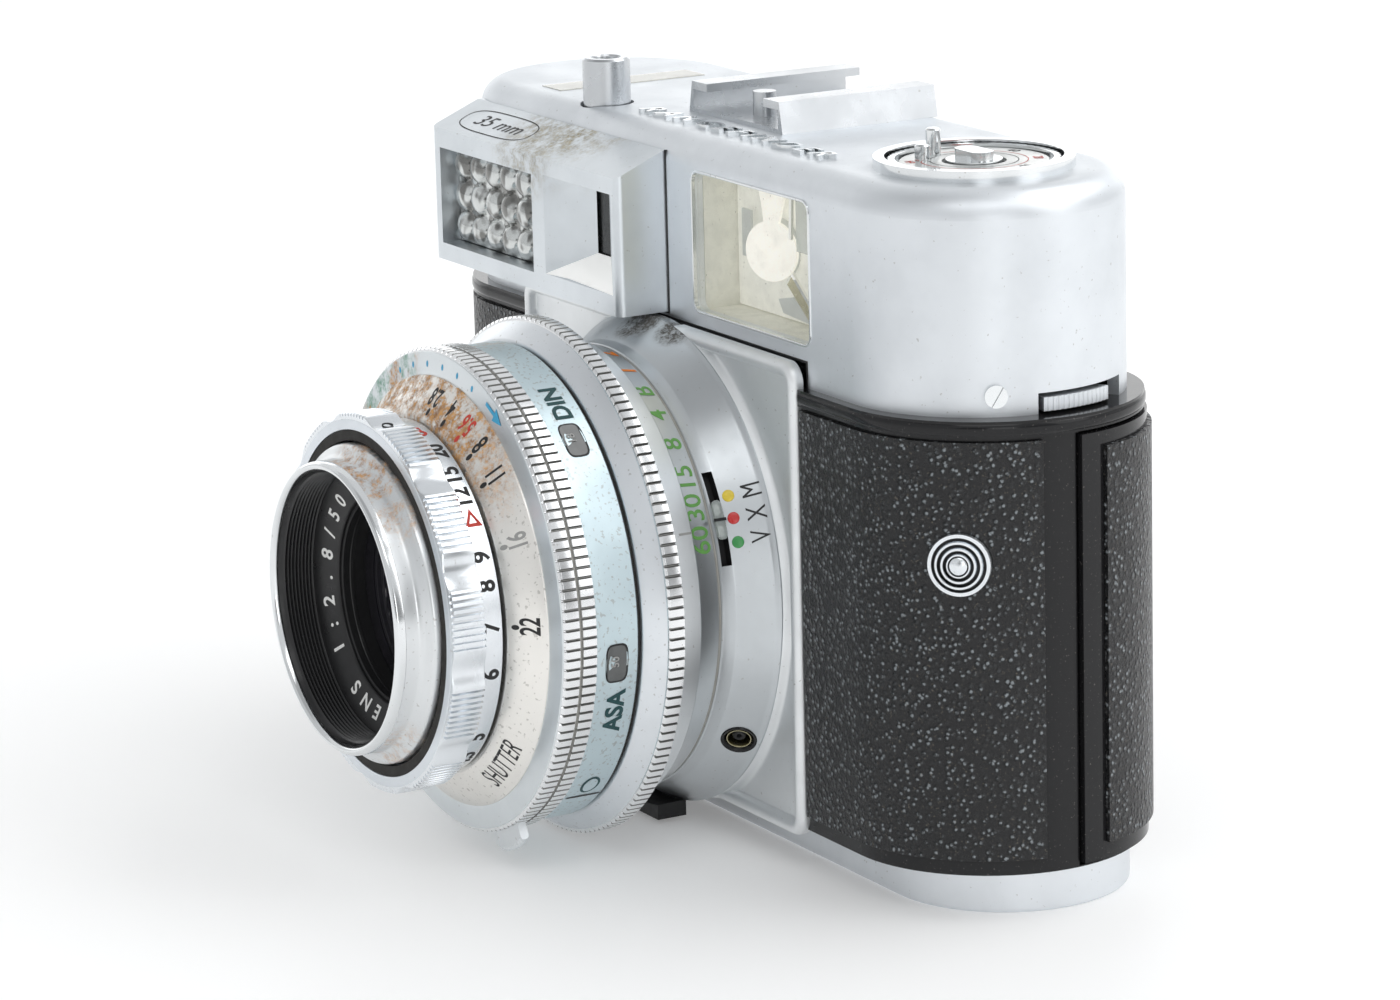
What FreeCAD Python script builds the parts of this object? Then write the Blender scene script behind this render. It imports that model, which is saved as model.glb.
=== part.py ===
import FreeCAD, Part
import math
import os

V = FreeCAD.Vector

# Frame while building, in mm: X to the right seen from the front, Y to the back, Z up.
# Z = 0 is the underside of the base, X = 0 and Y = 0 are the middle of the body.

# ---- driving dimensions -------------------------------------------------------------
FIT = 0.05                # running clearance of a shaft in its bore
GAP = 0.35                # air between parts that move past each other

PUSH_ON_R = 16.0          # outside of the lens mount that a push-on filter grips
LENS_Z = 29.14            # height of the lens axis
FRONT_Y = -57.6           # front rim of the lens

BODY_HALF = 41.0          # centres of the round ends of the body
BODY_R = 16.15            # half depth of the body shell
SHELL_BOTTOM = 4.9
SHELL_TOP = 53.4
WALL = 1.3

TOP_HALF = 39.86          # the same for the top housing
TOP_R = 15.4
TOP_Z = 76.8
TOP_EDGE_R = 3.0
NOTCH_Z = 56.1            # top edge of the lens panel, let into the housing

BASE_HALF = 42.1
BASE_R = 13.35
BASE_Y = 1.0

DOOR_IN_R = 15.2          # back door, inside and outside of its metal
DOOR_OUT_R = 16.85
SKIN = 0.5                # leatherette
GLUE = 0.02               # between two curved faces that are fixed together
DOOR_SPLIT = 0.95         # where the door ends on the catch side
HINGE_X = -58.9
HINGE_Y = 4.5
HINGE_R = 1.7

PANEL_LEFT = -31.1        # lens panel
PANEL_RIGHT = 30.2
PANEL_Y = -BODY_R
PANEL_THICK = 1.2

FINDER_X = (6.4, 31.1)    # viewfinder window
FINDER_Z = (58.0, 73.3)
METER_X = (-44.4, 0.4)    # meter housing
METER_Z = (56.8, 72.2)
METER_BACK_TOP = 74.8
METER_Y = -21.6

DIAL_X = 39.3             # rewind dial
DIAL_R = 10.6
BUTTON = (-21.5, -10.6)   # release button
LEVER_X = -40.4           # advance lever and take-up spool
FILM_Y = 8.7              # film plane
GATE_W = 36.0
GATE_H = 24.0


# ---- helpers ------------------------------------------------------------------------
def block(x0, x1, y0, y1, z0, z1):
    return Part.makeBox(x1 - x0, y1 - y0, z1 - z0, V(x0, y0, z0))


def stadium(half, radius, z0, z1, y=0.0):
    """Upright block with straight sides along X and round ends."""
    a = V(-half, y - radius, z0)
    b = V(half, y - radius, z0)
    c = V(half, y + radius, z0)
    d = V(-half, y + radius, z0)
    right = Part.Arc(b, V(half + radius, y, z0), c).toShape()
    left = Part.Arc(d, V(-half - radius, y, z0), a).toShape()
    wire = Part.Wire([Part.makeLine(a, b), right, Part.makeLine(c, d), left])
    return Part.Face(wire).extrude(V(0, 0, z1 - z0))


def turned(points):
    """Solid turned about the lens axis from (y, radius) corners."""
    corners = [V(0, y, LENS_Z + r) for y, r in points]
    face = Part.Face(Part.makePolygon(corners + corners[:1]))
    return face.revolve(V(0, 0, LENS_Z), V(0, 1, 0), 360)


def ring(y0, y1, inner, outer):
    return turned([(y0, inner), (y0, outer), (y1, outer), (y1, inner)])


def post(x, y, z0, z1, radius):
    return Part.makeCylinder(radius, z1 - z0, V(x, y, z0))


def tube(x, y, z0, z1, inner, outer):
    return post(x, y, z0, z1, outer).cut(post(x, y, z0 - 1, z1 + 1, inner))


def lens_rod(x, z, y0, y1, radius):
    """Cylinder along Y from y0 back to y1."""
    return Part.makeCylinder(radius, y1 - y0, V(x, y0, z), V(0, 1, 0))


def prism(points, z0, z1):
    """Upright prism over (x, y) corners."""
    corners = [V(x, y, z0) for x, y in points]
    return Part.Face(Part.makePolygon(corners + corners[:1])).extrude(V(0, 0, z1 - z0))


def wall_prism(points, y0, y1):
    """Prism along Y over (x, z) corners."""
    corners = [V(x, y0, z) for x, z in points]
    return Part.Face(Part.makePolygon(corners + corners[:1])).extrude(V(0, y1 - y0, 0))


def side_prism(points, x0, x1):
    """Prism along X over (y, z) corners."""
    corners = [V(x0, y, z) for y, z in points]
    return Part.Face(Part.makePolygon(corners + corners[:1])).extrude(V(x1 - x0, 0, 0))


def wedge(x, y, start, end, reach, z0, z1):
    """Upright sector; angles run from the front (-Y) toward +X."""
    steps = 6
    points = [(x, y)]
    for i in range(steps + 1):
        angle = math.radians(start + (end - start) * i / steps)
        points.append((x + reach * math.sin(angle), y - reach * math.cos(angle)))
    return prism(points, z0, z1)


def rounded(shape, radius, test):
    edges = [edge for edge in shape.Edges if test(edge)]
    return shape.makeFillet(radius, edges)


def at_height(z):
    def test(edge):
        box = edge.BoundBox
        return abs(box.ZMin - z) < 1e-3 and abs(box.ZMax - z) < 1e-3
    return test


def along(axis):
    """Test for straight edges along one axis."""
    def test(edge):
        box = edge.BoundBox
        spans = {"x": box.XLength, "y": box.YLength, "z": box.ZLength}
        length = spans.pop(axis)
        return length > 0.1 and max(spans.values()) < 1e-3
    return test


def on_lens(angle, radius):
    """(x, z) of a point round the lens; angle from +X toward up."""
    turn = math.radians(angle)
    return radius * math.cos(turn), LENS_Z + radius * math.sin(turn)


# ---- body ---------------------------------------------------------------------------
CHAMBER_R = 13.6
CHAMBER_X = 21.5
CHAMBER_Z = (7.0, 51.4)
REBATE_R = 14.85
DOOR_Z = (5.4, 51.3)
LENS_TUBE_R = 19.2
TUNNEL_W = 33.0
TUNNEL_H = 23.0
SPROCKET = (-26.4, 3.6)
SPROCKET_R = 4.0
SHAFT_R = 2.0
STUD_ANGLE = 47.6
STUD_Z = 38.4
STUD_R = 3.4
KEY_X = 31.0
KEY_R = 7.5
TRIPOD_R = 3.175           # hole of the tripod bush
BUSH_R = 6.5
BEAD_PROUD = 0.45         # bead round the top of the shell
BEAD_H = 1.8
SPLIT_GAP = 0.3           # between the ends of the door and the shell
BEARING_Z = ((5.5, 8.0), (50.0, 52.5))    # bearings of the spool and the sprocket
SPOOL_PIN_R = 1.2
SPROCKET_PIN_R = 1.0
KEY_SHAFT_R = 1.5
LEVER_STUD_R = 2.0
LEVER_SEAT_R = 4.0
HINGE_PIN_R = 0.8
EAR_Z = ((DOOR_Z[0], 15.0), (41.0, DOOR_Z[1]))
KNUCKLE_Z = (EAR_Z[0][1] + 0.3, EAR_Z[1][0] - 0.3)
LEATHER_Z = (6.6, 51.2)
DOOR_LEATHER_Z = (7.2, 49.8)
LEATHER_END_RIGHT = 78.2  # where the front leatherette ends on the round ends, degrees
LEATHER_END_LEFT = 84.0
MIRROR_PLANE = (V(0, 0, 0), V(1, 0, 0))   # left and right of the camera


def end_point(angle, radius):
    """(x, y) on the right-hand round end; angle from the front toward +X."""
    turn = math.radians(angle)
    return BODY_HALF + radius * math.sin(turn), -radius * math.cos(turn)


def body_casting():
    shell = stadium(BODY_HALF, BODY_R, SHELL_BOTTOM, SHELL_TOP)
    bead = stadium(BODY_HALF, BODY_R + BEAD_PROUD, SHELL_TOP - BEAD_H, SHELL_TOP)
    shell = shell.fuse(bead).removeSplitter()
    reach = BODY_HALF + BODY_R + 5
    # rebate that the door closes into
    outside = stadium(BODY_HALF, BODY_R + 5, DOOR_Z[0] - GAP, DOOR_Z[1] + GAP)
    outside = outside.cut(stadium(BODY_HALF, REBATE_R, 0, SHELL_TOP + 1))
    right_side = block(0, reach + 5, DOOR_SPLIT - SPLIT_GAP, reach, 0, SHELL_TOP)
    left_side = block(-reach - 5, 0, HINGE_Y - SPLIT_GAP, reach, 0, SHELL_TOP)
    shell = shell.cut(outside.common(right_side.fuse(left_side)))
    # room for the film, open over its whole width to the back
    room = stadium(BODY_HALF, CHAMBER_R, *CHAMBER_Z)
    chamber_end = BODY_HALF + CHAMBER_R
    right_way = block(0, chamber_end, DOOR_SPLIT - SPLIT_GAP, reach, *CHAMBER_Z)
    left_way = block(-chamber_end, 0, HINGE_Y - SPLIT_GAP, reach, *CHAMBER_Z)
    shell = shell.cut(room.fuse([right_way, left_way]))
    # mouth for the shutter, and a flat for the lens panel across the bead
    shell = shell.cut(lens_rod(0, LENS_Z, -BODY_R - 1, -CHAMBER_R, LENS_TUBE_R))
    shell = shell.cut(block(PANEL_LEFT, PANEL_RIGHT, -BODY_R - 1, PANEL_Y, 40, SHELL_TOP))
    # bores for the rewind shaft, the spool, the sprocket and the catch
    shell = shell.cut(post(DIAL_X, 0, 45, SHELL_TOP + 1, SHAFT_R + FIT))
    for z0, z1 in BEARING_Z:
        shell = shell.cut(post(LEVER_X, 0, z0, z1, SPOOL_PIN_R + FIT))
        shell = shell.cut(post(*SPROCKET, z0, z1, SPROCKET_PIN_R + FIT))
    shell = shell.cut(post(KEY_X, BASE_Y, 4, 6.2, KEY_SHAFT_R + FIT))
    # stud that the advance lever turns on
    stud_foot = SHELL_TOP - 0.5
    shell = shell.fuse(post(LEVER_X, 0, stud_foot, LEVER_Z[0] - 0.3, LEVER_SEAT_R))
    shell = shell.fuse(post(LEVER_X, 0, stud_foot, LEVER_Z[1] + 1.0, LEVER_STUD_R))
    # ears of the hinge
    for z0, z1 in EAR_Z:
        ear = post(HINGE_X, HINGE_Y, z0, z1, HINGE_R)
        web = block(HINGE_X, HINGE_X + 3.5, HINGE_Y - HINGE_R, HINGE_Y - SPLIT_GAP, z0, z1)
        web = web.cut(stadium(BODY_HALF, BODY_R - 0.5, 0, SHELL_TOP))
        bore = post(HINGE_X, HINGE_Y, z0, z1, HINGE_PIN_R + GLUE)
        shell = shell.fuse(ear.fuse(web).cut(bore))
    return shell.removeSplitter()


def skin(outer_r, start, end, z0, z1, flat_to):
    """Leatherette over the right-hand end and the flat beside it."""
    shape = stadium(BODY_HALF, outer_r, z0, z1)
    shape = shape.cut(stadium(BODY_HALF, outer_r - SKIN + GLUE, z0, z1))
    keep = wedge(BODY_HALF, 0, start, end, 40, z0, z1)
    if flat_to is not None:
        side = -1 if start <= 0 else 1
        low, high = sorted((0, side * 40))
        keep = keep.fuse(block(flat_to, BODY_HALF, low, high, z0, z1))
    return shape.common(keep)


def stud_hole():
    x, y = end_point(STUD_ANGLE, BODY_R - 1)
    return Part.makeCylinder(STUD_R + FIT, 4, V(x, y, STUD_Z), radial(STUD_ANGLE))


def front_leather_right():
    shape = skin(BODY_R + SKIN, 0, LEATHER_END_RIGHT, *LEATHER_Z, PANEL_RIGHT + SPLIT_GAP)
    return shape.cut(stud_hole())


def front_leather_left():
    shape = skin(BODY_R + SKIN, 0, LEATHER_END_LEFT, *LEATHER_Z, SPLIT_GAP - PANEL_LEFT)
    return shape.cut(stud_hole()).mirror(*MIRROR_PLANE)


def radial(angle):
    turn = math.radians(angle)
    return V(math.sin(turn), -math.cos(turn), 0)


def strap_studs():
    x, y = end_point(STUD_ANGLE, BODY_R)
    axis = radial(STUD_ANGLE)
    base = V(x, y, STUD_Z)
    dome_r = 9.0
    dome_top = 1.4
    stud = Part.makeCylinder(STUD_R, 1.5, base + axis * -0.1, axis)
    stud = stud.common(Part.makeSphere(dome_r, base + axis * (dome_top - dome_r)))
    for radius in (1.0, 1.9, 2.7):
        groove = Part.makeTorus(radius, 0.16, base + axis * (dome_top - 0.05), axis)
        stud = stud.cut(groove)
    stud = stud.cut(stadium(BODY_HALF, BODY_R, 0, SHELL_TOP))
    return Part.makeCompound([stud, stud.mirror(*MIRROR_PLANE)])


def film_gate():
    """Cast block between the chambers: lens bore, light tunnel, gate and film rails."""
    plate_y = FILM_Y - 0.5
    margin = 5.5
    rail = 1.2
    core = block(-CHAMBER_X, CHAMBER_X, -CHAMBER_R, plate_y, *CHAMBER_Z)
    core = core.cut(block(-TUNNEL_W / 2, TUNNEL_W / 2, -8, FILM_Y,
                          LENS_Z - TUNNEL_H / 2, LENS_Z + TUNNEL_H / 2))
    core = core.cut(lens_rod(0, LENS_Z, -BODY_R, -7, 11.0))
    z0 = LENS_Z - GATE_H / 2
    z1 = LENS_Z + GATE_H / 2
    plate = block(-CHAMBER_X, CHAMBER_X, plate_y, FILM_Y, z0 - margin, z1 + margin)
    plate = core.fuse(plate).removeSplitter()
    plate = plate.cut(block(-GATE_W / 2, GATE_W / 2, FILM_Y - 2, 20, z0, z1))
    for z in (z0 - margin, z1 + margin - rail):
        plate = plate.fuse(block(-CHAMBER_X, CHAMBER_X, FILM_Y, FILM_Y + 0.3, z, z + rail))
    return plate


def base_plate():
    shape = stadium(BASE_HALF, BASE_R, 0, SHELL_BOTTOM, BASE_Y)
    shape = rounded(shape, 0.5, at_height(0))
    inside = stadium(BASE_HALF, BASE_R - WALL, WALL, SHELL_BOTTOM, BASE_Y)
    inside = inside.cut(post(0, BASE_Y, 0, SHELL_BOTTOM, BUSH_R + 2.5))
    shape = shape.cut(inside)
    shape = shape.cut(post(0, BASE_Y, -1, SHELL_BOTTOM, BUSH_R))
    return shape.cut(post(KEY_X, BASE_Y, -1, 3, KEY_R + GAP))


def tripod_bush():
    return tube(0, BASE_Y, 0.1, SHELL_BOTTOM, TRIPOD_R, BUSH_R)


def latch_key():
    """Round key in the base with two finger dishes; its shaft works the catch."""
    top = 1.9
    key = post(KEY_X, BASE_Y, 0.25, top, KEY_R)
    for side in (-1, 1):
        dish = post(KEY_X, BASE_Y + side * 4.2, 0, 1.2, 2.4)
        key = key.cut(dish)
    return key.fuse(post(KEY_X, BASE_Y, top, 6.0, KEY_SHAFT_R)).removeSplitter()


# ---- back door ----------------------------------------------------------------------
def back_door():
    """Back with its round ends, and the middle knuckle of the hinge."""
    inside = stadium(BODY_HALF, DOOR_IN_R, *DOOR_Z)
    reach = BODY_HALF + DOOR_OUT_R + 1
    shape = stadium(BODY_HALF, DOOR_OUT_R, *DOOR_Z).cut(inside)
    keep = block(0, reach, DOOR_SPLIT, reach, *DOOR_Z)
    keep = keep.fuse(block(-reach, 0, HINGE_Y, reach, *DOOR_Z))
    shape = shape.common(keep)
    shape = shape.cut(post(HINGE_X, HINGE_Y, *DOOR_Z, HINGE_R + 0.4))
    web_x = HINGE_X + 3.2
    web = prism([(HINGE_X, HINGE_Y + SPLIT_GAP), (web_x, HINGE_Y + SPLIT_GAP),
                 (web_x, HINGE_Y + 2.6), (HINGE_X, HINGE_Y + 1.6)], *KNUCKLE_Z)
    web = web.cut(stadium(BODY_HALF, DOOR_IN_R + 0.1, *DOOR_Z))
    knuckle = post(HINGE_X, HINGE_Y, *KNUCKLE_Z, HINGE_R)
    shape = shape.fuse([web, knuckle]).removeSplitter()
    return shape.cut(post(HINGE_X, HINGE_Y, *DOOR_Z, HINGE_PIN_R + FIT))


def hinge_pin():
    return post(HINGE_X, HINGE_Y, *DOOR_Z, HINGE_PIN_R)


def door_leather():
    shape = stadium(BODY_HALF, DOOR_OUT_R + SKIN, *DOOR_LEATHER_Z)
    shape = shape.cut(stadium(BODY_HALF, DOOR_OUT_R + GLUE, *DOOR_LEATHER_Z))
    right = wedge(BODY_HALF, 0, 103.3, 180, 40, *DOOR_LEATHER_Z)
    left = wedge(BODY_HALF, 0, 117, 180, 40, *DOOR_LEATHER_Z).mirror(*MIRROR_PLANE)
    flat = block(-BODY_HALF, BODY_HALF, 0, 40, *DOOR_LEATHER_Z)
    return shape.common(flat.fuse([right, left]))


PRESS_HALF = (27.0, 17.5)     # half width and half height of the pressure plate
PRESS_Y = FILM_Y + 0.6
PRESS_THICK = 1.2


def pressure_plate():
    wide, tall = PRESS_HALF
    plate = block(-wide, wide, PRESS_Y, PRESS_Y + PRESS_THICK, LENS_Z - tall, LENS_Z + tall)
    return rounded(plate, 2.0, along("y"))


def pressure_spring():
    """Leaf against the pressure plate, on a foot that stands on the door."""
    y0 = PRESS_Y + PRESS_THICK
    y1 = y0 + 0.4
    half = 4.0
    leaf = block(-14, 14, y0, y1, LENS_Z - half, LENS_Z + half)
    foot = block(-2.5, 2.5, y1, DOOR_IN_R, LENS_Z - half, LENS_Z + half)
    return leaf.fuse(foot).removeSplitter()


# ---- lens panel and shutter ---------------------------------------------------------
PANEL_FRONT = PANEL_Y - PANEL_THICK
PANEL_Z = (4.0, NOTCH_Z)
RIM_W = 1.2               # raised rim of the panel and the tray inside it
TRAY_DEEP = 0.6
BELL_R = 27.3             # the bell is a cone that ends in a short neck
BELL_FRONT = -23.2
BAND_R = 24.7
CONE_END = -21.7
CONE_END_R = 24.85
SLOT_Y = (-22.9, CONE_END)    # slot of the synchronising slider in the neck
SLOT_IN_R = 22.8
SLOT_ANGLES = (11.0, 35.0)
SLIDER_ANGLE = 22.4
SOCKET_ANGLE = -37.3      # flash socket, part of the way down the cone
SOCKET_SHARE = 0.465
SOCKET_R = 2.0
SOCKET_DEEP = 3.0
NOSE_Y = -48.8
KNURL_R = 26.64
SPEED_KNURL_R = 28.65
TAB_R = 29.0              # finger tab of the aperture ring
TAB_ANGLES = (-73, -61)
SHUTTER_R = 22.0          # drum that the setting rings turn on
RING_BORE_R = SHUTTER_R + GAP
SHUTTER_FRONT = -42.2
NOSE_R = 16.1             # nose that the focusing ring turns on
NOSE_BORE_R = 14.1
BLADE_ROOM_Y = (-39.4, -36.4)
BLADE_ROOM_R = 19.6
BLADE_MOUTH_R = 12.0
REAR_CELL_R = 12.5
REAR_CELL_Y = -30.0
CELL_GLASS_R = 11.0       # clear glass of the front cell


def socket_place():
    """Middle of the flash socket on the cone, and the cone's outward direction there."""
    fall = BELL_R - CONE_END_R
    run = PANEL_FRONT - CONE_END
    x, z = on_lens(SOCKET_ANGLE, BELL_R - fall * SOCKET_SHARE)
    turn = math.radians(SOCKET_ANGLE)
    outward = V(run * math.cos(turn), -fall, run * math.sin(turn))
    return V(x, PANEL_FRONT - run * SOCKET_SHARE, z), outward / outward.Length


def socket_rod(radius, deep, proud):
    """Cylinder on the socket's axis, from a depth below the cone to a height above it."""
    middle, outward = socket_place()
    return Part.makeCylinder(radius, deep + proud, middle - outward * deep, outward)


def mount_plate():
    """Chrome lens panel: raised rim, sunk tray and the bell round the shutter."""
    panel = block(PANEL_LEFT, PANEL_RIGHT, PANEL_FRONT, PANEL_Y, *PANEL_Z)
    panel = rounded(panel, 1.5, along("y"))
    tray = block(PANEL_LEFT + RIM_W, PANEL_RIGHT - RIM_W, PANEL_FRONT - 1, PANEL_FRONT + TRAY_DEEP,
                 PANEL_Z[0] + RIM_W, PANEL_Z[1] - RIM_W)
    tray = tray.cut(lens_rod(0, LENS_Z, PANEL_FRONT - 2, 0, BELL_R + 0.4))
    bore_r = LENS_TUBE_R + GLUE
    bell = turned([(PANEL_Y, BELL_R), (PANEL_FRONT, BELL_R), (CONE_END, CONE_END_R),
                   (BELL_FRONT, BAND_R), (BELL_FRONT, bore_r), (PANEL_Y, bore_r)])
    shape = panel.cut(tray).fuse(bell).removeSplitter()
    shape = shape.cut(lens_rod(0, LENS_Z, BELL_FRONT - 1, 0, bore_r))
    shape = shape.cut(socket_rod(SOCKET_R, SOCKET_DEEP, 1.0))
    slot = ring(*SLOT_Y, SLOT_IN_R, BELL_R)
    return shape.cut(slot.common(lens_wedge(*SLOT_ANGLES, 40, *SLOT_Y)))


def lens_wedge(start, end, reach, y0, y1):
    """Sector round the lens axis, angles from +X toward up."""
    steps = 6
    points = [(0, LENS_Z)]
    for i in range(steps + 1):
        points.append(on_lens(start + (end - start) * i / steps, reach))
    return wall_prism(points, y0, y1)


def flash_socket():
    """Flush collar of the flash lead's socket."""
    return socket_rod(SOCKET_R - GLUE, SOCKET_DEEP, 0.0).cut(socket_rod(1.45, 2.5, 1.0))


def flash_socket_core():
    return socket_rod(0.95, 2.5, -0.5).cut(socket_rod(0.4, 2.0, 1.0))


def sync_lever():
    """Slider in the curved slot: a foot inside the neck and a cap that stands proud."""
    y0, y1 = SLOT_Y
    foot = ring(y0 + 0.3, y1 - 0.3, SLOT_IN_R + 0.3, BAND_R + 0.5)
    foot = foot.common(lens_wedge(SLIDER_ANGLE - 4, SLIDER_ANGLE + 4, 40, y0, y1))
    cap = ring(y0 - 0.2, y1 - 0.25, BAND_R + 0.45, BAND_R + 0.9)
    cap = cap.common(lens_wedge(SLIDER_ANGLE - 4.8, SLIDER_ANGLE + 4.8, 40, y0 - 1, y1 + 1))
    return foot.fuse(cap).removeSplitter()


def shutter_housing():
    """Drum with the tube into the body, the blade room and the nose."""
    tube_r = LENS_TUBE_R - GLUE
    tube_in_r = 17.6
    blade_front, blade_back = BLADE_ROOM_Y
    return turned([(-CHAMBER_R, tube_in_r), (-CHAMBER_R, tube_r), (BELL_FRONT, tube_r),
                   (BELL_FRONT, SHUTTER_R), (SHUTTER_FRONT, SHUTTER_R),
                   (SHUTTER_FRONT, NOSE_R), (NOSE_Y, NOSE_R), (NOSE_Y, NOSE_BORE_R),
                   (SHUTTER_FRONT, NOSE_BORE_R), (SHUTTER_FRONT, BLADE_MOUTH_R),
                   (blade_front, BLADE_MOUTH_R), (blade_front, BLADE_ROOM_R),
                   (blade_back, BLADE_ROOM_R), (blade_back, REAR_CELL_R),
                   (REAR_CELL_Y, REAR_CELL_R), (REAR_CELL_Y, tube_in_r)])


def rear_lens():
    front, back = -35.8, -12.0
    glass_r = 9.0
    seat = REAR_CELL_R - GLUE
    barrel = turned([(front, glass_r), (front, seat), (REAR_CELL_Y, seat),
                     (REAR_CELL_Y, 11.0), (back, 9.5), (back, 8.5), (REAR_CELL_Y, glass_r)])
    return barrel.fuse(lens_rod(0, LENS_Z, -34.5, -31.5, glass_r))


def speed_ring():
    """Shutter speed ring: scale band, chrome step, knurl and front cone."""
    back, front = BELL_FRONT - GAP, -33.9
    step_r = 26.1
    shoulder_r = SPEED_KNURL_R - 0.4
    return turned([(back, RING_BORE_R), (back, BAND_R), (-26.4, 25.2), (-26.5, step_r),
                   (-30.0, step_r), (-30.1, shoulder_r), (-30.4, SPEED_KNURL_R),
                   (-31.5, SPEED_KNURL_R), (-31.8, shoulder_r),
                   (front, 26.5), (front, RING_BORE_R)])


def film_speed_ring():
    back, front = -34.25, -41.0
    face_r = 26.24
    return turned([(back, RING_BORE_R), (back, face_r), (-39.4, face_r), (-39.45, KNURL_R),
                   (front, KNURL_R), (front, RING_BORE_R)])


def aperture_ring():
    """Aperture ring: knurl with finger tab, satin face and conical scale."""
    back, front = -41.35, -46.45
    lip_y = -42.6
    lip_r = NOSE_R + 0.4
    shape = turned([(back, RING_BORE_R), (back, KNURL_R), (-42.9, KNURL_R),
                    (-43.25, KNURL_R - 0.5), (-43.65, 23.7), (front, 19.8),
                    (front, lip_r), (lip_y, lip_r), (lip_y, RING_BORE_R)])
    tab = ring(lip_y, -41.5, KNURL_R - 1.0, TAB_R)
    return shape.fuse(tab.common(lens_wedge(*TAB_ANGLES, 60, -44, -40))).removeSplitter()


BLADES = 5
PIVOT_R = 15.0


def aperture_blade(index):
    """Thin crescent with its pivot stud; each one lies in its own layer."""
    layer = 0.45
    thick = 0.12
    y0 = BLADE_ROOM_Y[0] + 0.4 + layer * index
    start = 360.0 * index / BLADES
    band = ring(y0, y0 + thick, 8.0, 16.5)
    blade = band.common(lens_wedge(start - 8, start + 104, 60, y0 - 1, y0 + 1))
    x, z = on_lens(start, PIVOT_R)
    return blade.fuse(lens_rod(x, z, y0, y0 + 0.27, 0.6)).removeSplitter()


GRIP_R = 20.8             # grip of the focusing ring
GROOVE_Y = (-52.95, -52.4)    # black ring let into its front
GROOVE_R = (17.9, 18.9)


def focus_ring():
    """Focusing ring: scale band and scalloped grip."""
    back, front = -46.8, -53.2
    band_r = 19.45
    seat_y = GROOVE_Y[1]
    inner_r, outer_r = GROOVE_R
    bore_r = NOSE_R + 0.4
    shape = turned([(back, bore_r), (back, band_r), (-49.2, band_r), (-49.4, GRIP_R),
                    (front, GRIP_R), (front, outer_r), (seat_y, outer_r),
                    (seat_y, inner_r), (-50.0, inner_r), (-50.0, bore_r)])
    scallops = 12
    scallop_r = 6.0
    for i in range(scallops):
        x, z = on_lens(360.0 * (i + 0.5) / scallops, GRIP_R + scallop_r - 0.6)
        shape = shape.cut(lens_rod(x, z, front - 1, -49.3, scallop_r))
    return shape


def groove_ring():
    return ring(*GROOVE_Y, *GROOVE_R)


LINING_R = 15.0
LINING_BACK = -51.6
LINING_FOOT_R = 13.0
FLANGE_R = 17.5
FLANGE_Y = (-54.0, -50.9)
CELL_BACK = -43.0
CELL_SEAT = -49.4


def front_barrel():
    """Front cell mount: runs in the shutter's nose and ends in the push-on rim."""
    sleeve_r = NOSE_BORE_R - 0.1
    flange_front, flange_back = FLANGE_Y
    return turned([(CELL_BACK, CELL_GLASS_R), (CELL_BACK, sleeve_r), (flange_back, sleeve_r),
                   (flange_back, FLANGE_R), (flange_front, FLANGE_R),
                   (flange_front - 0.3, PUSH_ON_R + 0.6), (flange_front - 1.0, PUSH_ON_R),
                   (FRONT_Y + 0.3, PUSH_ON_R), (FRONT_Y, PUSH_ON_R - 0.3),
                   (FRONT_Y, LINING_R + 0.2), (FRONT_Y + 0.7, LINING_R),
                   (LINING_BACK, LINING_R), (LINING_BACK, LINING_FOOT_R),
                   (CELL_SEAT, LINING_FOOT_R), (CELL_SEAT, CELL_GLASS_R)])


def barrel_lining():
    """Black stepped cone between the rim and the front glass."""
    seat = LINING_R - GLUE
    foot = LINING_FOOT_R - GLUE
    points = [(FRONT_Y + 1.0, seat), (LINING_BACK, seat), (LINING_BACK, foot),
              (CELL_SEAT, foot), (CELL_SEAT, CELL_GLASS_R)]
    steps = 7
    step_y = 0.95
    step_r = 0.52
    for i in range(steps):
        y = CELL_SEAT - 0.4 - step_y * i
        r = CELL_GLASS_R + step_r * i
        points += [(y, r), (y, r + step_r)]
    return turned(points)


def front_lens():
    curve_r = 30.0
    glass_front = -49.5
    rim = lens_rod(0, LENS_Z, CELL_SEAT + 0.1, -44.5, CELL_GLASS_R - GLUE)
    return rim.common(Part.makeSphere(curve_r, V(0, glass_front + curve_r, LENS_Z)))


def counter_housing():
    """Dark block with the frame counter under the lens."""
    shape = block(-5, 5, -21.0, PANEL_FRONT - 0.05, 0.5, 8.0)
    shape = shape.cut(lens_rod(0, LENS_Z, -30, 0, BELL_R + 0.05))
    return shape


# ---- top housing --------------------------------------------------------------------
CEIL = TOP_Z - WALL
READOUT_X = (-36.6, -32.0)
READOUT_Y = (-11.0, 8.0)
EYE_X = (13.5, 24.5)
EYE_Z = (61.0, 69.5)
EYE_RIM = 1.2
LEVER_Z = (57.3, 58.9)
RELEASE_ANGLE = (82.0, 114.0)
RELEASE_TRAVEL = 12.0
RELEASE_Z = (53.75, 55.2)
LEVER_REST = 160          # direction of the advance lever at rest, degrees from the front
LEVER_SLOT = (145, 268)   # angles that the advance lever sweeps, from the front
DIAL_BORE_R = 9.4
BUTTON_R = 2.7
CELL_X = (-42.4, -19.6)   # window of the light cell
CELL_Z = (58.8, 70.0)
MOUTH_X = (-16.7, -0.9)   # recess in front of the rangefinder window
MOUTH_Z = (59.1, 70.3)
THROAT_X = (-11.3, -9.0)
THROAT_Z = (61.9, 69.2)
THROAT_DEEP = 4.2


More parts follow.
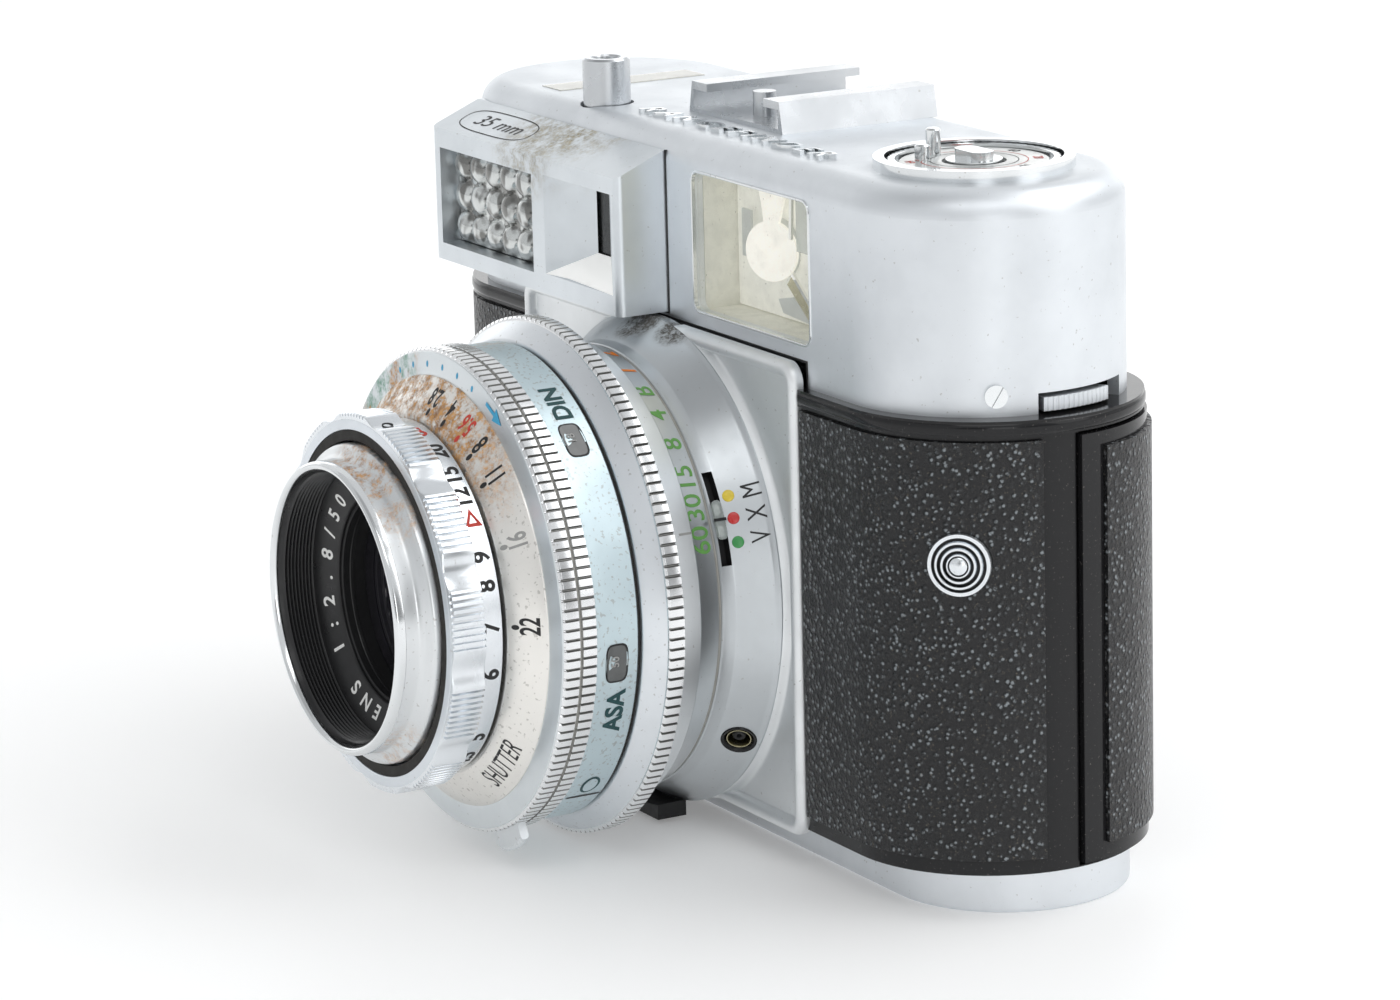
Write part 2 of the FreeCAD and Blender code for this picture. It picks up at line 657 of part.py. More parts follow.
def top_housing():
    shape = stadium(TOP_HALF, TOP_R, SHELL_TOP, TOP_Z)
    shape = rounded(shape, TOP_EDGE_R, at_height(TOP_Z))
    inside = stadium(TOP_HALF, TOP_R - WALL, SHELL_TOP - 1, CEIL)
    inside = rounded(inside, TOP_EDGE_R - WALL, at_height(CEIL))
    shape = shape.cut(inside)
    shape = shape.cut(block(PANEL_LEFT - 0.1, PANEL_RIGHT + 0.1, -20, -13, 50, NOTCH_Z + 0.1))
    window = block(FINDER_X[0], FINDER_X[1], -20, -10, FINDER_Z[0], FINDER_Z[1])
    shape = shape.cut(rounded(window, 1.2, along("y")))
    shape = shape.cut(block(METER_X[0] + 4.8, METER_X[1] - 2, -20, -10,
                            METER_Z[0] + 2, METER_Z[1] - 1))
    shape = shape.cut(block(*READOUT_X, *READOUT_Y, CEIL - 1, TOP_Z + 1))
    shape = shape.cut(block(*EYE_X, 10, 20, *EYE_Z))
    shape = shape.cut(post(DIAL_X, 0, CEIL - 1, TOP_Z + 1, DIAL_BORE_R))
    shape = shape.cut(post(*BUTTON, CEIL - 2, TOP_Z + 1, BUTTON_R + GAP))
    # slot of the advance lever, then the gap of the rewind release
    wall = (11, 22)
    slot = tube(LEVER_X, 0, LEVER_Z[0] - 0.4, LEVER_Z[1] + 0.4, *wall)
    shape = shape.cut(slot.common(wedge(LEVER_X, 0, *LEVER_SLOT, 40, SHELL_TOP, CEIL)))
    gap = tube(TOP_HALF, 0, SHELL_TOP - 1, RELEASE_Z[1] + 0.4, *wall)
    ends = (RELEASE_ANGLE[0] - 1.5, RELEASE_ANGLE[1] + RELEASE_TRAVEL + 1.5)
    return shape.cut(gap.common(wedge(TOP_HALF, 0, *ends, 40, SHELL_TOP - 1, CEIL)))


def front_upright(edge):
    """Test for the upright edges at the front of the meter housing."""
    return along("z")(edge) and edge.BoundBox.YMax < METER_Y + 0.01


def upright_frame(xs, y, zs):
    """Rectangular wire that faces the front."""
    corners = [V(xs[0], y, zs[0]), V(xs[1], y, zs[0]), V(xs[1], y, zs[1]), V(xs[0], y, zs[1])]
    return Part.makePolygon(corners + corners[:1])


def meter_housing():
    """Projecting block of the light meter and the rangefinder window."""
    x0, x1 = METER_X
    z0, z1 = METER_Z
    back = 2.2 - TOP_R
    shape = side_prism([(METER_Y, z0), (METER_Y, z1), (-TOP_R, METER_BACK_TOP),
                        (back, METER_BACK_TOP), (back, z0)], x0, x1)
    shape = rounded(shape, 0.9, front_upright)
    shape = shape.cut(block(x0 + 1.6, x1 - 1.6, METER_Y + 4.0, back + 1, z0 + 1.4, z1 - 1.2))
    shape = shape.cut(block(*CELL_X, METER_Y - 1, METER_Y + 5, *CELL_Z))
    mouth = upright_frame(MOUTH_X, METER_Y, MOUTH_Z)
    throat = upright_frame(THROAT_X, METER_Y + THROAT_DEEP, THROAT_Z)
    shape = shape.cut(Part.makeLoft([mouth, throat], True, True))
    return shape.cut(stadium(TOP_HALF, TOP_R, SHELL_TOP, TOP_Z))


def cell_pane(y0, thick):
    """Plate that fills the recess of the light cell."""
    return block(CELL_X[0] + 0.1, CELL_X[1] - 0.1, y0, y0 + thick,
                 CELL_Z[0] + 0.1, CELL_Z[1] - 0.1)


def cell_window():
    """Glass honeycomb in front of the light cell."""
    y0 = METER_Y + 1.8
    plate = cell_pane(y0, 1.0)
    columns = 6
    rows = 3
    border = 0.5
    seam = 0.05
    width = (CELL_X[1] - CELL_X[0] - 2 * border) / columns
    height = (CELL_Z[1] - CELL_Z[0] - 2 * border) / rows
    half_w = width / 2 - seam
    half_h = height / 2 - seam
    radius = 3.4
    for column in range(columns):
        for row in range(rows):
            x = CELL_X[0] + border + width * (column + 0.5)
            z = CELL_Z[0] + border + height * (row + 0.5)
            bump = Part.makeSphere(radius, V(x, y0 + radius - 0.6, z))
            cell = block(x - half_w, x + half_w, y0 - 1, y0 + 0.5, z - half_h, z + half_h)
            plate = plate.fuse(bump.common(cell))
    return plate


def meter_cell():
    return cell_pane(METER_Y + 3.0, 0.8)


def rangefinder_window():
    y0 = METER_Y + THROAT_DEEP + 0.1
    return block(THROAT_X[0] - 1.8, THROAT_X[1] + 1.8, y0, y0 + 0.9,
                 THROAT_Z[0] - 0.8, THROAT_Z[1] + 0.8)


def viewfinder_window():
    pane = block(FINDER_X[0] + 0.05, FINDER_X[1] - 0.05, -TOP_R + 0.45, -TOP_R + 1.35,
                 FINDER_Z[0] + 0.05, FINDER_Z[1] - 0.05)
    return rounded(pane, 1.15, along("y"))


def finder_cage():
    """Cream box round the viewfinder's light path."""
    sheet = 0.5
    x0, x1 = FINDER_X[0] - 0.1, FINDER_X[1] + 0.1
    z0, z1 = FINDER_Z[0] - 0.1, FINDER_Z[1] + 0.1
    y0, y1 = -TOP_R + WALL + 0.1, TOP_R - WALL - 0.1
    shape = block(x0 - sheet, x1 + sheet, y0, y1, z0 - sheet, z1 + sheet)
    shape = shape.cut(block(x0, x1, y0 - 1, y1 - 0.6, z0, z1))
    shape = shape.cut(block(*EYE_X, 10, 20, *EYE_Z))
    # the corner by the dial stays clear of the knob
    return shape.cut(post(DIAL_X, 0, 70, 80, DIAL_BORE_R + 0.8))


def finder_mirror():
    """Round mirror that hangs from the roof of the viewfinder on a short neck."""
    thick = 0.8
    lean = math.radians(25)
    back = V(-math.sin(lean), math.cos(lean), 0)
    centre = V(17.3, -12.0, 65.7)
    disc = Part.makeCylinder(3.3, thick, centre, back)
    neck = block(-1.5, 1.5, 0, thick, 0, FINDER_Z[1] + 0.1 - centre.z)
    neck.rotate(V(0, 0, 0), V(0, 0, 1), 25)
    neck.translate(centre)
    return disc.fuse(neck).removeSplitter()


def beam_splitter():
    """Glass block in the viewfinder's light path."""
    return prism([(15.0, 4.0), (27.0, 4.0), (27.0, 9.0)], 60.0, 71.0)


def eye_block(grow, y0, y1):
    """Block over the eyepiece's opening, larger by grow on every side."""
    return block(EYE_X[0] - grow, EYE_X[1] + grow, y0, y1, EYE_Z[0] - grow, EYE_Z[1] + grow)


def eyepiece_frame():
    y0 = TOP_R - WALL - 0.05
    shape = eye_block(1.5, TOP_R, TOP_R + 1.6)
    shape = rounded(shape, 1.5, along("y"))
    shape = shape.fuse(eye_block(0, y0, TOP_R + 1)).removeSplitter()
    return shape.cut(eye_block(-EYE_RIM, 5, 25))


def eyepiece_glass():
    return eye_block(-EYE_RIM, TOP_R - 0.6, TOP_R + 0.4)


STOP_Y = -2.4             # pin that stops an accessory in the shoe
STOP_R = 1.3


def accessory_shoe():
    half = 10.3
    y0, y1 = -6.2, 13.6
    floor = TOP_Z + 0.5
    lip = floor + 2.1
    top = lip + 0.9
    shape = block(-half, half, y0, y1, TOP_Z, top)
    foot_half = 9.35
    throat_half = 6.25
    shape = shape.cut(block(-foot_half, foot_half, y0 - 1, y1 + 1, floor, lip))
    shape = shape.cut(block(-throat_half, throat_half, y0 - 1, y1 + 1, floor, top + 1))
    lean = 0.7
    for side in (-1, 1):
        sliver = wall_prism([(side * (half + 1), TOP_Z), (side * half, TOP_Z),
                             (side * (half - lean), top), (side * (half + 1), top)],
                            y0 - 1, y1 + 1)
        shape = shape.cut(sliver)
    return shape.cut(post(0, STOP_Y, TOP_Z - 1, floor + 1, STOP_R))


def shoe_stop_pin():
    return post(0, STOP_Y, TOP_Z, TOP_Z + 3.2, STOP_R)


def meter_readout_window():
    return block(*READOUT_X, *READOUT_Y, TOP_Z - 0.9, TOP_Z + 0.1)


NEEDLE_PIVOT = (-28.6, -1.5, CEIL - 1.4)
NEEDLE_PIN_R = 0.5


def meter_scale_plate():
    """Pale plate under the needle, with the needle's pivot post."""
    x, y, z = NEEDLE_PIVOT
    top = z - 1.5
    plate = block(READOUT_X[0] - 1, READOUT_X[1] + 6, READOUT_Y[0] + 1, READOUT_Y[1],
                  top - 0.5, top)
    return plate.fuse(post(x, y, top, z + 0.8, NEEDLE_PIN_R)).removeSplitter()


def meter_needle():
    """Pointer that swings under the read-out window."""
    x, y, z = NEEDLE_PIVOT
    hub = post(x, y, z - 0.9, z + 0.3, 1.3)
    sheet = (z - 0.1, z + 0.15)
    arm = block(READOUT_X[0] + 0.8, x, y - 0.2, y + 0.2, *sheet)
    tail = block(x, x + 2.6, y - 0.45, y + 0.45, *sheet)
    needle = hub.fuse([arm, tail]).removeSplitter()
    return needle.cut(post(x, y, z - 2, z + 2, NEEDLE_PIN_R + FIT))


def top_lettering():
    """Raised slanting bars in place of a name."""
    count = 9
    pitch = 4.5
    width = 0.8
    y0, y1 = -11.6, -9.0
    lean = 0.9
    bars = []
    for i in range(count):
        for shift in (0.0, 1.9):
            x = -13.0 + pitch * i + shift
            bars.append(prism([(x, y0), (x + width, y0), (x + width + lean, y1),
                               (x + lean, y1)], TOP_Z, TOP_Z + 0.5))
    return Part.makeCompound(bars)


HUB_R = 3.0               # middle of the knob, under its key bar


def dial_bezel():
    return tube(DIAL_X, 0, TOP_Z, TOP_Z + 1.2, DIAL_BORE_R, DIAL_R)


def rewind_knob():
    """Knurled cup with its key bar; rises on the shaft for rewinding."""
    floor = TOP_Z + 0.1
    foot = CEIL - 2.5
    knob_r = DIAL_BORE_R - GAP
    knob = post(DIAL_X, 0, foot, TOP_Z + 0.9, knob_r)
    knob = knob.cut(post(DIAL_X, 0, floor, TOP_Z + 2, knob_r - 0.75))
    teeth = 60
    for i in range(teeth):
        turn = 2 * math.pi * i / teeth
        x = DIAL_X + (knob_r + 0.15) * math.cos(turn)
        y = (knob_r + 0.15) * math.sin(turn)
        knob = knob.cut(post(x, y, foot - 1, TOP_Z + 2, 0.3))
    hub_top = floor + 0.65
    bar = block(DIAL_X - 2.6, DIAL_X + 2.6, -1.3, 1.3, hub_top, floor + 1.6)
    bar = rounded(bar, 1.2, along("z"))
    hub = post(DIAL_X, 0, floor - 0.1, hub_top, HUB_R)
    sleeve = post(DIAL_X, 0, foot - 7.5, foot + 0.1, 3.2)
    knob = knob.fuse([hub, bar, sleeve]).removeSplitter()
    return knob.cut(post(DIAL_X, 0, 50, TOP_Z - 0.2, SHAFT_R + FIT))


def rewind_shaft():
    """Shaft from the knob down to the fork in the film chamber."""
    shaft = post(DIAL_X, 0, 47.5, TOP_Z - 0.5, SHAFT_R)
    fork = post(DIAL_X, 0, 44.5, 47.5, 3.0)
    fork = fork.cut(block(DIAL_X - 4, DIAL_X + 4, -0.8, 0.8, 44, 46.5))
    return shaft.fuse(fork).removeSplitter()


def reminder_disc():
    """Printed film reminder disc lying in the knob, with two finger pins."""
    disc = tube(DIAL_X, 0, TOP_Z + 0.2, TOP_Z + 0.6, HUB_R + GAP, 7.9)
    foot = TOP_Z + 0.5
    pin_circle = 5.4
    pins = []
    for angle, height in ((200, 3.0), (240, 1.9)):
        turn = math.radians(angle)
        x = DIAL_X + pin_circle * math.cos(turn)
        y = pin_circle * math.sin(turn)
        pins.append(post(x, y, foot, foot + height, 0.8))
    return disc.fuse(pins).removeSplitter()


def release_button():
    """Tall hollow release post with the cable release thread in its top."""
    foot, top = 71.0, 82.0
    shape = post(*BUTTON, foot, top, BUTTON_R)
    shape = shape.cut(post(*BUTTON, top - 4, top + 1, 1.6))
    collar = post(*BUTTON, foot - 1, foot, BUTTON_R + 0.9)
    return shape.fuse(collar).removeSplitter()


def lever_prism(corners, z0, z1):
    """Upright prism over corners given as distance along the lever's arm and across it."""
    angle = math.radians(LEVER_REST)
    right, back = math.sin(angle), -math.cos(angle)
    points = [(LEVER_X + right * reach - back * side, back * reach + right * side)
              for reach, side in corners]
    return prism(points, z0, z1)


def advance_lever():
    """Thumb lever in the slot at the back."""
    z0, z1 = LEVER_Z
    hub = post(LEVER_X, 0, z0, z1, 6.0)
    arm = lever_prism(((3, -2.2), (18.8, -1.8), (18.8, 1.8), (3, 2.2)), z0, z1)
    pad = lever_prism(((18.4, -1.8), (21.0, -1.8), (21.0, 4.4), (18.4, 3.2)), z0, z1 + 3.0)
    lever = hub.fuse([arm, pad]).removeSplitter()
    return lever.cut(post(LEVER_X, 0, z0 - 1, z1 + 1, LEVER_STUD_R + FIT))


def rewind_release():
    """Serrated slide that frees the film for rewinding."""
    z0, z1 = RELEASE_Z
    outer_r = TOP_R + 0.5
    shape = tube(TOP_HALF, 0, z0, z1, 12.0, outer_r)
    shape = shape.common(wedge(TOP_HALF, 0, *RELEASE_ANGLE, 40, z0, z1))
    teeth = 14
    start, end = RELEASE_ANGLE
    for i in range(teeth):
        turn = math.radians(start + (end - start) * (i + 0.5) / teeth)
        x = TOP_HALF + (outer_r + 0.1) * math.sin(turn)
        y = -(outer_r + 0.1) * math.cos(turn)
        shape = shape.cut(post(x, y, z0 - 1, z1 + 1, 0.22))
    return shape


SCREW_ANGLE = 63.8
SCREW_Z = 55.6


def housing_screws():
    """Slotted screws that hold the top housing."""
    turn = math.radians(SCREW_ANGLE)
    axis = radial(SCREW_ANGLE)
    base = V(TOP_HALF + TOP_R * math.sin(turn), -TOP_R * math.cos(turn), SCREW_Z)
    head = Part.makeCylinder(1.2, 0.7, base + axis * -0.3, axis)
    head = head.cut(stadium(TOP_HALF, TOP_R, SHELL_TOP, CEIL))
    slot = block(-0.2, 0.2, -2, 2, -2, 2)
    slot.rotate(V(0, 0, 0), V(0, 1, 0), 30)
    slot.rotate(V(0, 0, 0), V(0, 0, 1), SCREW_ANGLE)
    slot.translate(base + axis * 2.15)
    head = head.cut(slot)
    return Part.makeCompound([head, head.mirror(*MIRROR_PLANE)])


# ---- film transport -----------------------------------------------------------------
SPINDLE_Z = (7.6, 50.8)   # between the bearings


def spindle(x, y, radius, pin_r):
    """Upright roller with a pin at each end."""
    z0, z1 = SPINDLE_Z
    roller = post(x, y, z0, z1, radius)
    return roller.fuse([post(x, y, z0 - 2.0, z0, pin_r), post(x, y, z1, z1 + 1.6, pin_r)])


def takeup_spool():
    shape = spindle(LEVER_X, 0, 5.5, SPOOL_PIN_R)
    for z0 in (9.5, 47.0):
        shape = shape.fuse(post(LEVER_X, 0, z0, z0 + 1.2, 11.0))
    slit = block(LEVER_X - 6, LEVER_X, -0.6, 0.6, 16, 42)
    return shape.removeSplitter().cut(slit)


def sprocket():
    x, y = SPROCKET
    shape = spindle(x, y, 2.4, SPROCKET_PIN_R)
    teeth = 8
    for z0 in (LENS_Z - 15.5, LENS_Z + 12.5):
        shape = shape.fuse(post(x, y, z0, z0 + 3.0, SPROCKET_R - 0.8))
        for i in range(teeth):
            tooth = block(0, SPROCKET_R, -0.5, 0.5, z0 + 1.0, z0 + 2.0)
            tooth.rotate(V(0, 0, 0), V(0, 0, 1), 360.0 * i / teeth)
            tooth.translate(V(x, y, 0))
            shape = shape.fuse(tooth)
    return shape.removeSplitter()


PARTS = {
    "body_casting": body_casting,
    "front_leather_right": front_leather_right,
    "front_leather_left": front_leather_left,
    "strap_studs": strap_studs,
    "film_gate": film_gate,
    "base_plate": base_plate,
    "tripod_bush": tripod_bush,
    "latch_key": latch_key,
    "back_door": back_door,
    "hinge_pin": hinge_pin,
    "door_leather": door_leather,
    "pressure_plate": pressure_plate,
    "pressure_spring": pressure_spring,
    "mount_plate": mount_plate,
    "flash_socket": flash_socket,
    "flash_socket_core": flash_socket_core,
    "sync_lever": sync_lever,
    "shutter_housing": shutter_housing,
    "rear_lens": rear_lens,
    "speed_ring": speed_ring,
    "film_speed_ring": film_speed_ring,
    "aperture_ring": aperture_ring,
    "focus_ring": focus_ring,
    "groove_ring": groove_ring,
    "front_barrel": front_barrel,
    "barrel_lining": barrel_lining,
    "front_lens": front_lens,
    "counter_housing": counter_housing,
    "top_housing": top_housing,
    "meter_housing": meter_housing,
    "cell_window": cell_window,
    "meter_cell": meter_cell,
    "rangefinder_window": rangefinder_window,
    "viewfinder_window": viewfinder_window,
    "finder_cage": finder_cage,
    "finder_mirror": finder_mirror,
    "beam_splitter": beam_splitter,
    "eyepiece_frame": eyepiece_frame,
    "eyepiece_glass": eyepiece_glass,
    "accessory_shoe": accessory_shoe,
    "shoe_stop_pin": shoe_stop_pin,
    "meter_readout_window": meter_readout_window,
    "meter_scale_plate": meter_scale_plate,
    "meter_needle": meter_needle,
    "top_lettering": top_lettering,
    "dial_bezel": dial_bezel,
    "rewind_knob": rewind_knob,
    "rewind_shaft": rewind_shaft,
    "reminder_disc": reminder_disc,
    "release_button": release_button,
    "advance_lever": advance_lever,
    "rewind_release": rewind_release,
    "housing_screws": housing_screws,
    "takeup_spool": takeup_spool,
    "sprocket": sprocket,
}


def main():
    os.makedirs("parts", exist_ok=True)
    shapes = {name: make() for name, make in PARTS.items()}
    for index in range(BLADES):
        shapes["aperture_blade_%d" % (index + 1)] = aperture_blade(index)
    box = Part.makeCompound(list(shapes.values())).BoundBox
    # the origin is the middle of the footprint, on the surface the camera stands on
    shift = V(-box.Center.x, -box.Center.y, -box.ZMin)
    print("shift", tuple(round(value, 4) for value in shift))
    print("size", round(box.XLength, 2), round(box.YLength, 2), round(box.ZLength, 2))
    for name, shape in shapes.items():
        shape.translate(shift)
        shape.exportStep("parts/%s.step" % name)


main()
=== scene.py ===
import math

import bpy
from mathutils import Matrix, Vector

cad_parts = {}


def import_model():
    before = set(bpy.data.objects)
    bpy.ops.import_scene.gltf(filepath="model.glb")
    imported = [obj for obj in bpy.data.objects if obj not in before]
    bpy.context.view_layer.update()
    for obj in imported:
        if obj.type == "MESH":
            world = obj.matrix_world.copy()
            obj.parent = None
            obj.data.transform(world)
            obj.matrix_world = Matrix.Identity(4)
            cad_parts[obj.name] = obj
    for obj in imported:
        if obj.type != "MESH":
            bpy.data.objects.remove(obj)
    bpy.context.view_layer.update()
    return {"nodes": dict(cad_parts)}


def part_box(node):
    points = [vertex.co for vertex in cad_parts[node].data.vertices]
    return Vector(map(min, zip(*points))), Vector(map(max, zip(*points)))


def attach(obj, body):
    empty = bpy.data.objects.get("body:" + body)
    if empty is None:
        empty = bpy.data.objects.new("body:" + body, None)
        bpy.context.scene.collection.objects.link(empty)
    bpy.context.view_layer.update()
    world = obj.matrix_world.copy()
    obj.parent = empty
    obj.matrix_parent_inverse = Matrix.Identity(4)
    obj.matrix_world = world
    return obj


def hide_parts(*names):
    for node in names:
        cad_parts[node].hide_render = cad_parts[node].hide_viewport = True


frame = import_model()
nodes = frame["nodes"]
scene = bpy.context.scene

# ---- places, in the camera body's own millimetres -------------------------------------
# x to the right of the lens axis, y back from the middle of the body, z up from the table
MM = 0.001
RIM_LOW, RIM_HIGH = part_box("front_barrel")
AXIS_X = (RIM_LOW.x + RIM_HIGH.x) / 2
AXIS_Z = (RIM_LOW.z + RIM_HIGH.z) / 2
FRONT_Y = -57.6  # front of the lens rim
BODY_Y = RIM_LOW.y - FRONT_Y * MM
LENS_Z = AXIS_Z / MM


def at(x, y, z):
    return Vector((AXIS_X + x * MM, BODY_Y + y * MM, z * MM))


def in_body(point):
    """A point of the frame in body millimetres."""
    return Vector(((point.x - AXIS_X) / MM, (point.y - BODY_Y) / MM, point.z / MM))


def low(node):
    return in_body(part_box(node)[0])


def high(node):
    return in_body(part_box(node)[1])


def centre_of(a, b):
    """Middle of a box as seen from above."""
    return (a.x + b.x) / 2, (a.y + b.y) / 2


def circle(steps):
    """Angles all the way round in equal steps."""
    return [2 * math.pi * i / steps for i in range(steps)]


def round_lens(radius, turn, y):
    """Point round the lens axis; turn in radians from +X toward up."""
    return at(radius * math.cos(turn), y, LENS_Z + radius * math.sin(turn))


# ---- materials ------------------------------------------------------------------------
class Graph:
    """Short hand for building a node tree."""

    def __init__(self, tree):
        self.tree = tree

    def feed(self, socket, value):
        """Give a socket a value, or link another node's output to it."""
        if isinstance(value, bpy.types.NodeSocket):
            self.tree.links.new(value, socket)
        else:
            socket.default_value = value

    def add(self, kind, **inputs):
        node = self.tree.nodes.new(kind)
        for key, value in inputs.items():
            self.feed(node.inputs[key.replace("_", " ")], value)
        return node

    def ramp(self, value, a, b, low_value=0.0, high_value=1.0):
        node = self.add("ShaderNodeMapRange", Value=value, From_Min=a, From_Max=b,
                        To_Min=low_value, To_Max=high_value)
        node.interpolation_type = "SMOOTHSTEP"
        return node.outputs[0]

    def math(self, operation, a, b):
        node = self.add("ShaderNodeMath")
        node.operation = operation
        self.feed(node.inputs[0], a)
        self.feed(node.inputs[1], b)
        return node.outputs[0]

    def times(self, a, b):
        return self.math("MULTIPLY", a, b)


class Nodes(Graph):
    """Short hand for building one node material."""

    def __init__(self, name):
        self.mat = bpy.data.materials.new(name)
        self.mat.use_nodes = True
        super().__init__(self.mat.node_tree)
        self.bsdf = self.tree.nodes["Principled BSDF"]
        coords = self.add("ShaderNodeTexCoord")
        scale = self.add("ShaderNodeVectorMath")
        scale.operation = "SCALE"
        self.feed(scale.inputs["Scale"], 1 / MM)
        self.feed(scale.inputs[0], coords.outputs["Object"])
        self.place = scale.outputs[0]

    def set(self, **values):
        for key, value in values.items():
            self.feed(self.bsdf.inputs[key.replace("_", " ")], value)

    def noise(self, scale, detail=3.0, rough=0.6, stretch=None):
        place = self.place
        if stretch:
            place = self.add("ShaderNodeMapping", Scale=stretch, Vector=place).outputs[0]
        node = self.add("ShaderNodeTexNoise", Scale=scale, Detail=detail, Roughness=rough, Vector=place)
        return node.outputs["Fac"]

    def cells(self, scale):
        node = self.add("ShaderNodeTexVoronoi", Scale=scale, Vector=self.place)
        return node.outputs["Distance"]

    def mix(self, factor, a, b):
        node = self.add("ShaderNodeMix")
        node.data_type = "RGBA"
        self.feed(node.inputs["Factor"], factor)
        for index, value in ((6, a), (7, b)):
            self.feed(node.inputs[index], (*value, 1.0) if isinstance(value, tuple) else value)
        return node.outputs[2]

    def bump(self, height, distance, strength=1.0):
        node = self.add("ShaderNodeBump", Strength=strength, Distance=distance * MM, Height=height)
        return node.outputs["Normal"]

    def near(self, centre, radius, soft):
        """1 near a point (in body millimetres), 0 further away."""
        node = self.add("ShaderNodeVectorMath")
        node.operation = "DISTANCE"
        self.feed(node.inputs[0], self.place)
        self.feed(node.inputs[1], at(*centre) / MM)
        return self.ramp(node.outputs["Value"], radius + soft, radius - soft)


RUST = ((0.24, 0.09, 0.02), (0.70, 0.36, 0.10))
OLIVE = ((0.20, 0.16, 0.08), (0.46, 0.40, 0.27))
UNDER_METER_DARK = ((0.03, 0.026, 0.022), (0.12, 0.11, 0.095))


def stain_layer(m, stains, cover, colours, patina):
    """Where stains lie, from (place, radius, amount) of each, and what colour they have there."""
    total = 0.0
    for centre, radius, amount in stains:
        spot = m.times(m.near(centre, radius, radius * 0.45), amount)
        total = m.math("ADD", total, spot)
    patchy = m.ramp(m.noise(0.55, 6.0, 0.72), 0.42 - cover, 0.66 - cover)
    crumbs = m.ramp(m.noise(2.6, 4.0, 0.7), 0.40, 0.62, 0.35, 1.0)
    where = m.math("MINIMUM", m.times(m.times(total, patchy), crumbs), 0.92)
    colour = m.mix(m.ramp(m.noise(1.3, 4.0, 0.7), 0.35, 0.65), *colours)
    if patina:
        green = m.times(m.ramp(m.noise(0.30, 2.0, 0.5), 0.48, 0.56), patina)
        colour = m.mix(green, colour, (0.14, 0.42, 0.32))
    return where, colour


def metal(name, colour, rough, grain=0.35, grain_depth=0.004, stains=(), streak=None,
          smudge=0.08, stain_colours=RUST, cover=0.0, speckle=0.0, patina=0.0):
    """Plated metal with fine blasting or turning marks, smudges, specks and optional stains."""
    m = Nodes(name)
    cloud = m.noise(0.09, 4.0, 0.65)
    fine = m.noise(9.0, 2.0, 0.5, streak)
    dull = tuple(c * 0.78 for c in colour)
    shade = m.mix(m.ramp(cloud, 0.35, 0.72, 0.0, 0.25), colour, dull)
    specks = m.ramp(m.noise(2.1, 2.0, 0.5), 0.70 - speckle, 0.76 - speckle)
    shade = m.mix(m.times(specks, 0.45), shade, (0.32, 0.30, 0.27))
    roughness = m.ramp(cloud, 0.3, 0.75, rough - smudge * 0.5, rough + smudge)
    metallic = 1.0
    if stains:
        stained, stain_colour = stain_layer(m, stains, cover, stain_colours, patina)
        shade = m.mix(stained, shade, stain_colour)
        roughness = m.math("ADD", roughness, m.times(stained, 0.45))
        metallic = m.math("SUBTRACT", 1.0, m.times(stained, 0.9))
    m.set(Base_Color=shade, Roughness=roughness, Metallic=metallic,
          Normal=m.bump(fine, grain_depth, grain))
    return m.mat


def enamel(name):
    """Gloss black enamel with dust and faint scratches."""
    colour, rough = (0.012, 0.012, 0.013), 0.13
    m = Nodes(name)
    dust = m.ramp(m.noise(3.2, 3.0, 0.6), 0.63, 0.74)
    scratch = m.ramp(m.noise(1.5, 5.0, 0.7, (1.0, 1.0, 0.08)), 0.62, 0.70)
    wear = m.math("MAXIMUM", m.times(dust, 0.3), m.times(scratch, 0.12))
    m.set(Base_Color=m.mix(m.times(dust, 0.35), colour, (0.22, 0.20, 0.18)),
          Roughness=m.math("ADD", wear, rough), Specular_IOR_Level=0.30,
          Normal=m.bump(m.noise(0.7, 2.0, 0.5), 0.01, 0.4))
    return m.mat


def leatherette(name):
    """Black pebbled leatherette: glossy crests painted lighter than the hollows (painted shade and
    highlight), grey flecks that are partly wear and partly painted glints, and dust in the hollows.
    """
    m = Nodes(name)
    pebble = m.cells(1.45)
    crest = m.ramp(pebble, 0.62, 0.05)
    fine = m.noise(4.0, 3.0, 0.6)
    patch = m.noise(1.3, 3.0, 0.6)
    height = m.math("ADD", crest, m.times(fine, 0.35))
    ragged = m.math("ADD", pebble, m.times(fine, 0.55))
    # Grey flecks on the crests: partly wear, partly painted glints.
    wear_and_glint = m.times(m.ramp(ragged, 0.62, 0.44), m.ramp(patch, 0.38, 0.54))
    dust = m.ramp(m.noise(2.6, 3.0, 0.7), 0.60, 0.70)
    # Crests lighter than the hollows: painted shade and highlight.
    base = m.mix(crest, (0.008, 0.008, 0.009), (0.034, 0.036, 0.038))
    base = m.mix(m.times(wear_and_glint, 0.8), base, (0.30, 0.33, 0.35))
    m.set(Base_Color=m.mix(m.times(dust, 0.30), base, (0.30, 0.26, 0.20)),
          Roughness=m.ramp(fine, 0.3, 0.7, 0.24, 0.42), Specular_IOR_Level=0.42,
          Normal=m.bump(height, 0.30, 1.0))
    return m.mat


def plain(name, colour, rough=0.45, alpha=1.0, coat=0.0, depth=0.02, glow=0.0):
    """Paint, print or plastic with a little unevenness; glow stands in for light from inside."""
    m = Nodes(name)
    cloud = m.noise(0.6, 4.0, 0.6)
    darker = tuple(c * 0.80 for c in colour)
    m.set(Base_Color=m.mix(m.ramp(cloud, 0.35, 0.7, 0.0, 0.6), colour, darker),
          Roughness=m.ramp(cloud, 0.3, 0.7, max(rough - 0.05, 0.02), rough + 0.08),
          Alpha=alpha, Coat_Weight=coat, Emission_Color=(*colour, 1.0), Emission_Strength=glow,
          Normal=m.bump(m.noise(3.0, 2.0, 0.5), depth, 0.3))
    return m.mat


